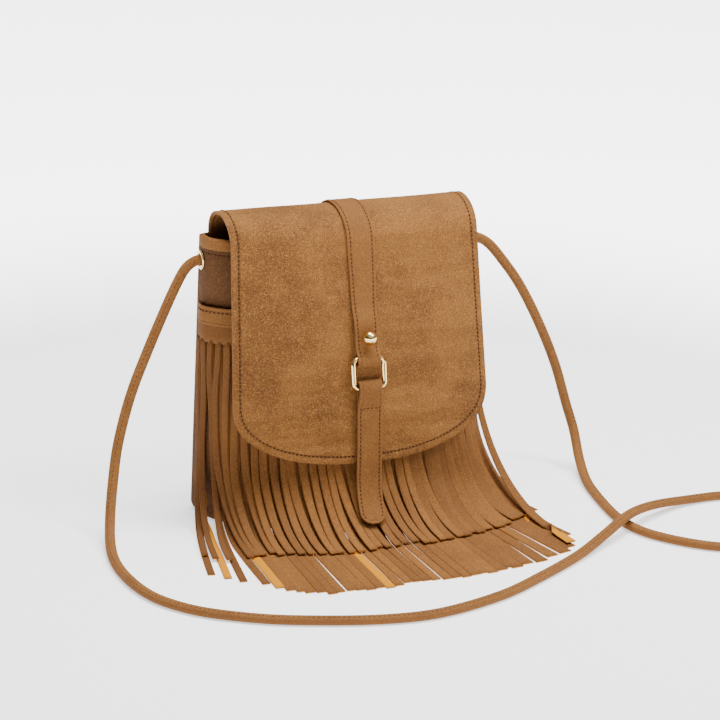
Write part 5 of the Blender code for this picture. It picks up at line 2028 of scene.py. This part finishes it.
@dataclass(frozen=True)
class Studio:
    """The pale floor, the soft lights and the camera of the photograph."""

    azimuth: float = 22.6
    elevation: float = 18.0
    roll: float = 1.24
    target: Triple = (0.0016, -0.0199, 0.1154)
    distance: float = 1.6854
    lens: float = 119.15
    sensor: float = 36.0
    sees_to: float = 40.0
    floor_reach: float = 16.0
    floor_z: float = -0.0002
    lamps: tuple[tuple[str, Triple, float, float], ...] = (
        ("key_softbox", (0.90, -0.80, 1.75), 0.55, 27.0),
        ("top_softbox", (0.10, 0.00, 1.90), 0.80, 58.0),
    )
    floor_colour: Colour = (0.93, 0.93, 0.93)
    mottle: float = 0.985
    glow_from: float = 0.25
    glow_to: float = 0.95
    glow: float = 4.0
    near_glow: float = 0.22
    surround_strength: float = 1.1
    dim: float = 0.04
    dim_below: float = -0.05
    bright_above: float = 0.90
    dark_left: float = -0.8
    bright_right: float = 0.1
    left_share: float = 0.2

    def camera(self) -> None:
        """Place the camera: back from the target by the distance, along a turned and raised line of sight."""
        azimuth, elevation, roll = map(math.radians, (self.azimuth, self.elevation, self.roll))
        back = Vector((
            -math.sin(azimuth) * math.cos(elevation),
            -math.cos(azimuth) * math.cos(elevation),
            math.sin(elevation),
        ))
        right = Vector((math.cos(azimuth), -math.sin(azimuth), 0.0))
        up = back.cross(right)
        side = right * math.cos(roll) + up * math.sin(roll)
        top = up * math.cos(roll) - right * math.sin(roll)
        data = bpy.data.cameras.new("photo_camera")
        data.lens = self.lens
        data.sensor_width = self.sensor
        data.clip_end = self.sees_to
        camera = bpy.data.objects.new("photo_camera", data)
        bpy.context.scene.collection.objects.link(camera)
        turn = Matrix((side, top, back)).transposed()
        place = Vector(self.target) + back * self.distance
        camera.matrix_world = Matrix.Translation(place) @ turn.to_4x4()
        bpy.context.scene.camera = camera

    def floor(self) -> None:
        """A wide pale floor just under the bag, which glows softly further out."""
        sides = ((-1, -1), (1, -1), (1, 1), (-1, 1))
        corners = np.array([(x * self.floor_reach, y * self.floor_reach, self.floor_z) for x, y in sides])
        floor = put_mesh("studio_floor", corners, np.array([[0, 1, 2, 3]]))
        material, nodes, shader = start_material("studio_floor_paint")
        place = nodes.add("ShaderNodeTexCoord").outputs["Object"]
        mottle = nodes.noise(place, 3.0, 2.0, 0.5)
        far = nodes.value("ShaderNodeVectorMath", "Value", {"Vector": place}, operation="LENGTH")
        ring = nodes.reach(far, self.glow_from, self.glow_to)
        shade = tuple(self.mottle * part for part in self.floor_colour)
        nodes.feed(
            shader, Base_Color=nodes.mix(mottle, opaque(self.floor_colour), opaque(shade)),
            Roughness=0.75, Specular_IOR_Level=0.1, Emission_Color=opaque((1.0, 1.0, 1.0)),
            Emission_Strength=nodes.times(nodes.maths("MAXIMUM", ring, self.near_glow), self.glow),
        )
        floor.data.materials.append(material)

    def light(self, name: str, place: Triple, size: float, power: float) -> None:
        """Hang a square soft light that faces the bag.

        Args:
            name: Its name.
            place: Where it hangs.
            size: Its side.
            power: In watts.
        """
        data = bpy.data.lights.new(name, "AREA")
        data.shape = "SQUARE"
        data.size = size
        data.energy = power
        obj = bpy.data.objects.new(name, data)
        bpy.context.scene.collection.objects.link(obj)
        obj.location = place
        toward = Vector(self.target) - Vector(place)
        obj.rotation_mode = "QUATERNION"
        obj.rotation_quaternion = toward.to_track_quat("-Z", "Y")

    def surround(self) -> None:
        """A white surround: bright overhead, dim at the level of the bag, and dimmer again at the left."""
        world = bpy.data.worlds.new("white_surround")
        world.use_nodes = True
        nodes = Nodes(world.node_tree)
        way = nodes.add("ShaderNodeTexCoord").outputs["Generated"]
        parts = nodes.add("ShaderNodeSeparateXYZ")
        nodes.feed(parts, Vector=way)
        height = nodes.reach(parts.outputs["Z"], self.dim_below, self.bright_above)
        side = nodes.reach(parts.outputs["X"], self.dark_left, self.bright_right)
        share = nodes.times(height, nodes.plus(nodes.times(side, 1 - self.left_share), self.left_share))
        shade = nodes.mix(share, opaque((self.dim,) * 3), opaque((1.0, 1.0, 1.0)))
        nodes.feed(world.node_tree.nodes["Background"], Color=shade, Strength=self.surround_strength)
        bpy.context.scene.world = world

    def build(self) -> None:
        """Set up the camera, the floor, the lights and a white surround."""
        self.camera()
        self.floor()
        for lamp in self.lamps:
            self.light(*lamp)
        self.surround()
        logger.info("studio: camera, floor and lights")


def main() -> None:
    """Build the studio and then the bag, one sub-assembly after another."""
    logging.basicConfig(level=logging.INFO, format="%(name)s %(message)s")
    form = PouchForm()
    shape = FlapForm(form)
    strap = StrapAndTab(shape)
    Studio().build()
    finishes = Finishes()
    ShoulderStrap(form).build(finishes)
    Flap(shape).build(finishes)
    strap.build(finishes)
    Hardware(strap, form).build(finishes)
    Fringe(form).build(finishes)
    Pouch(form).build(finishes)


if __name__ == "__main__":
    main()
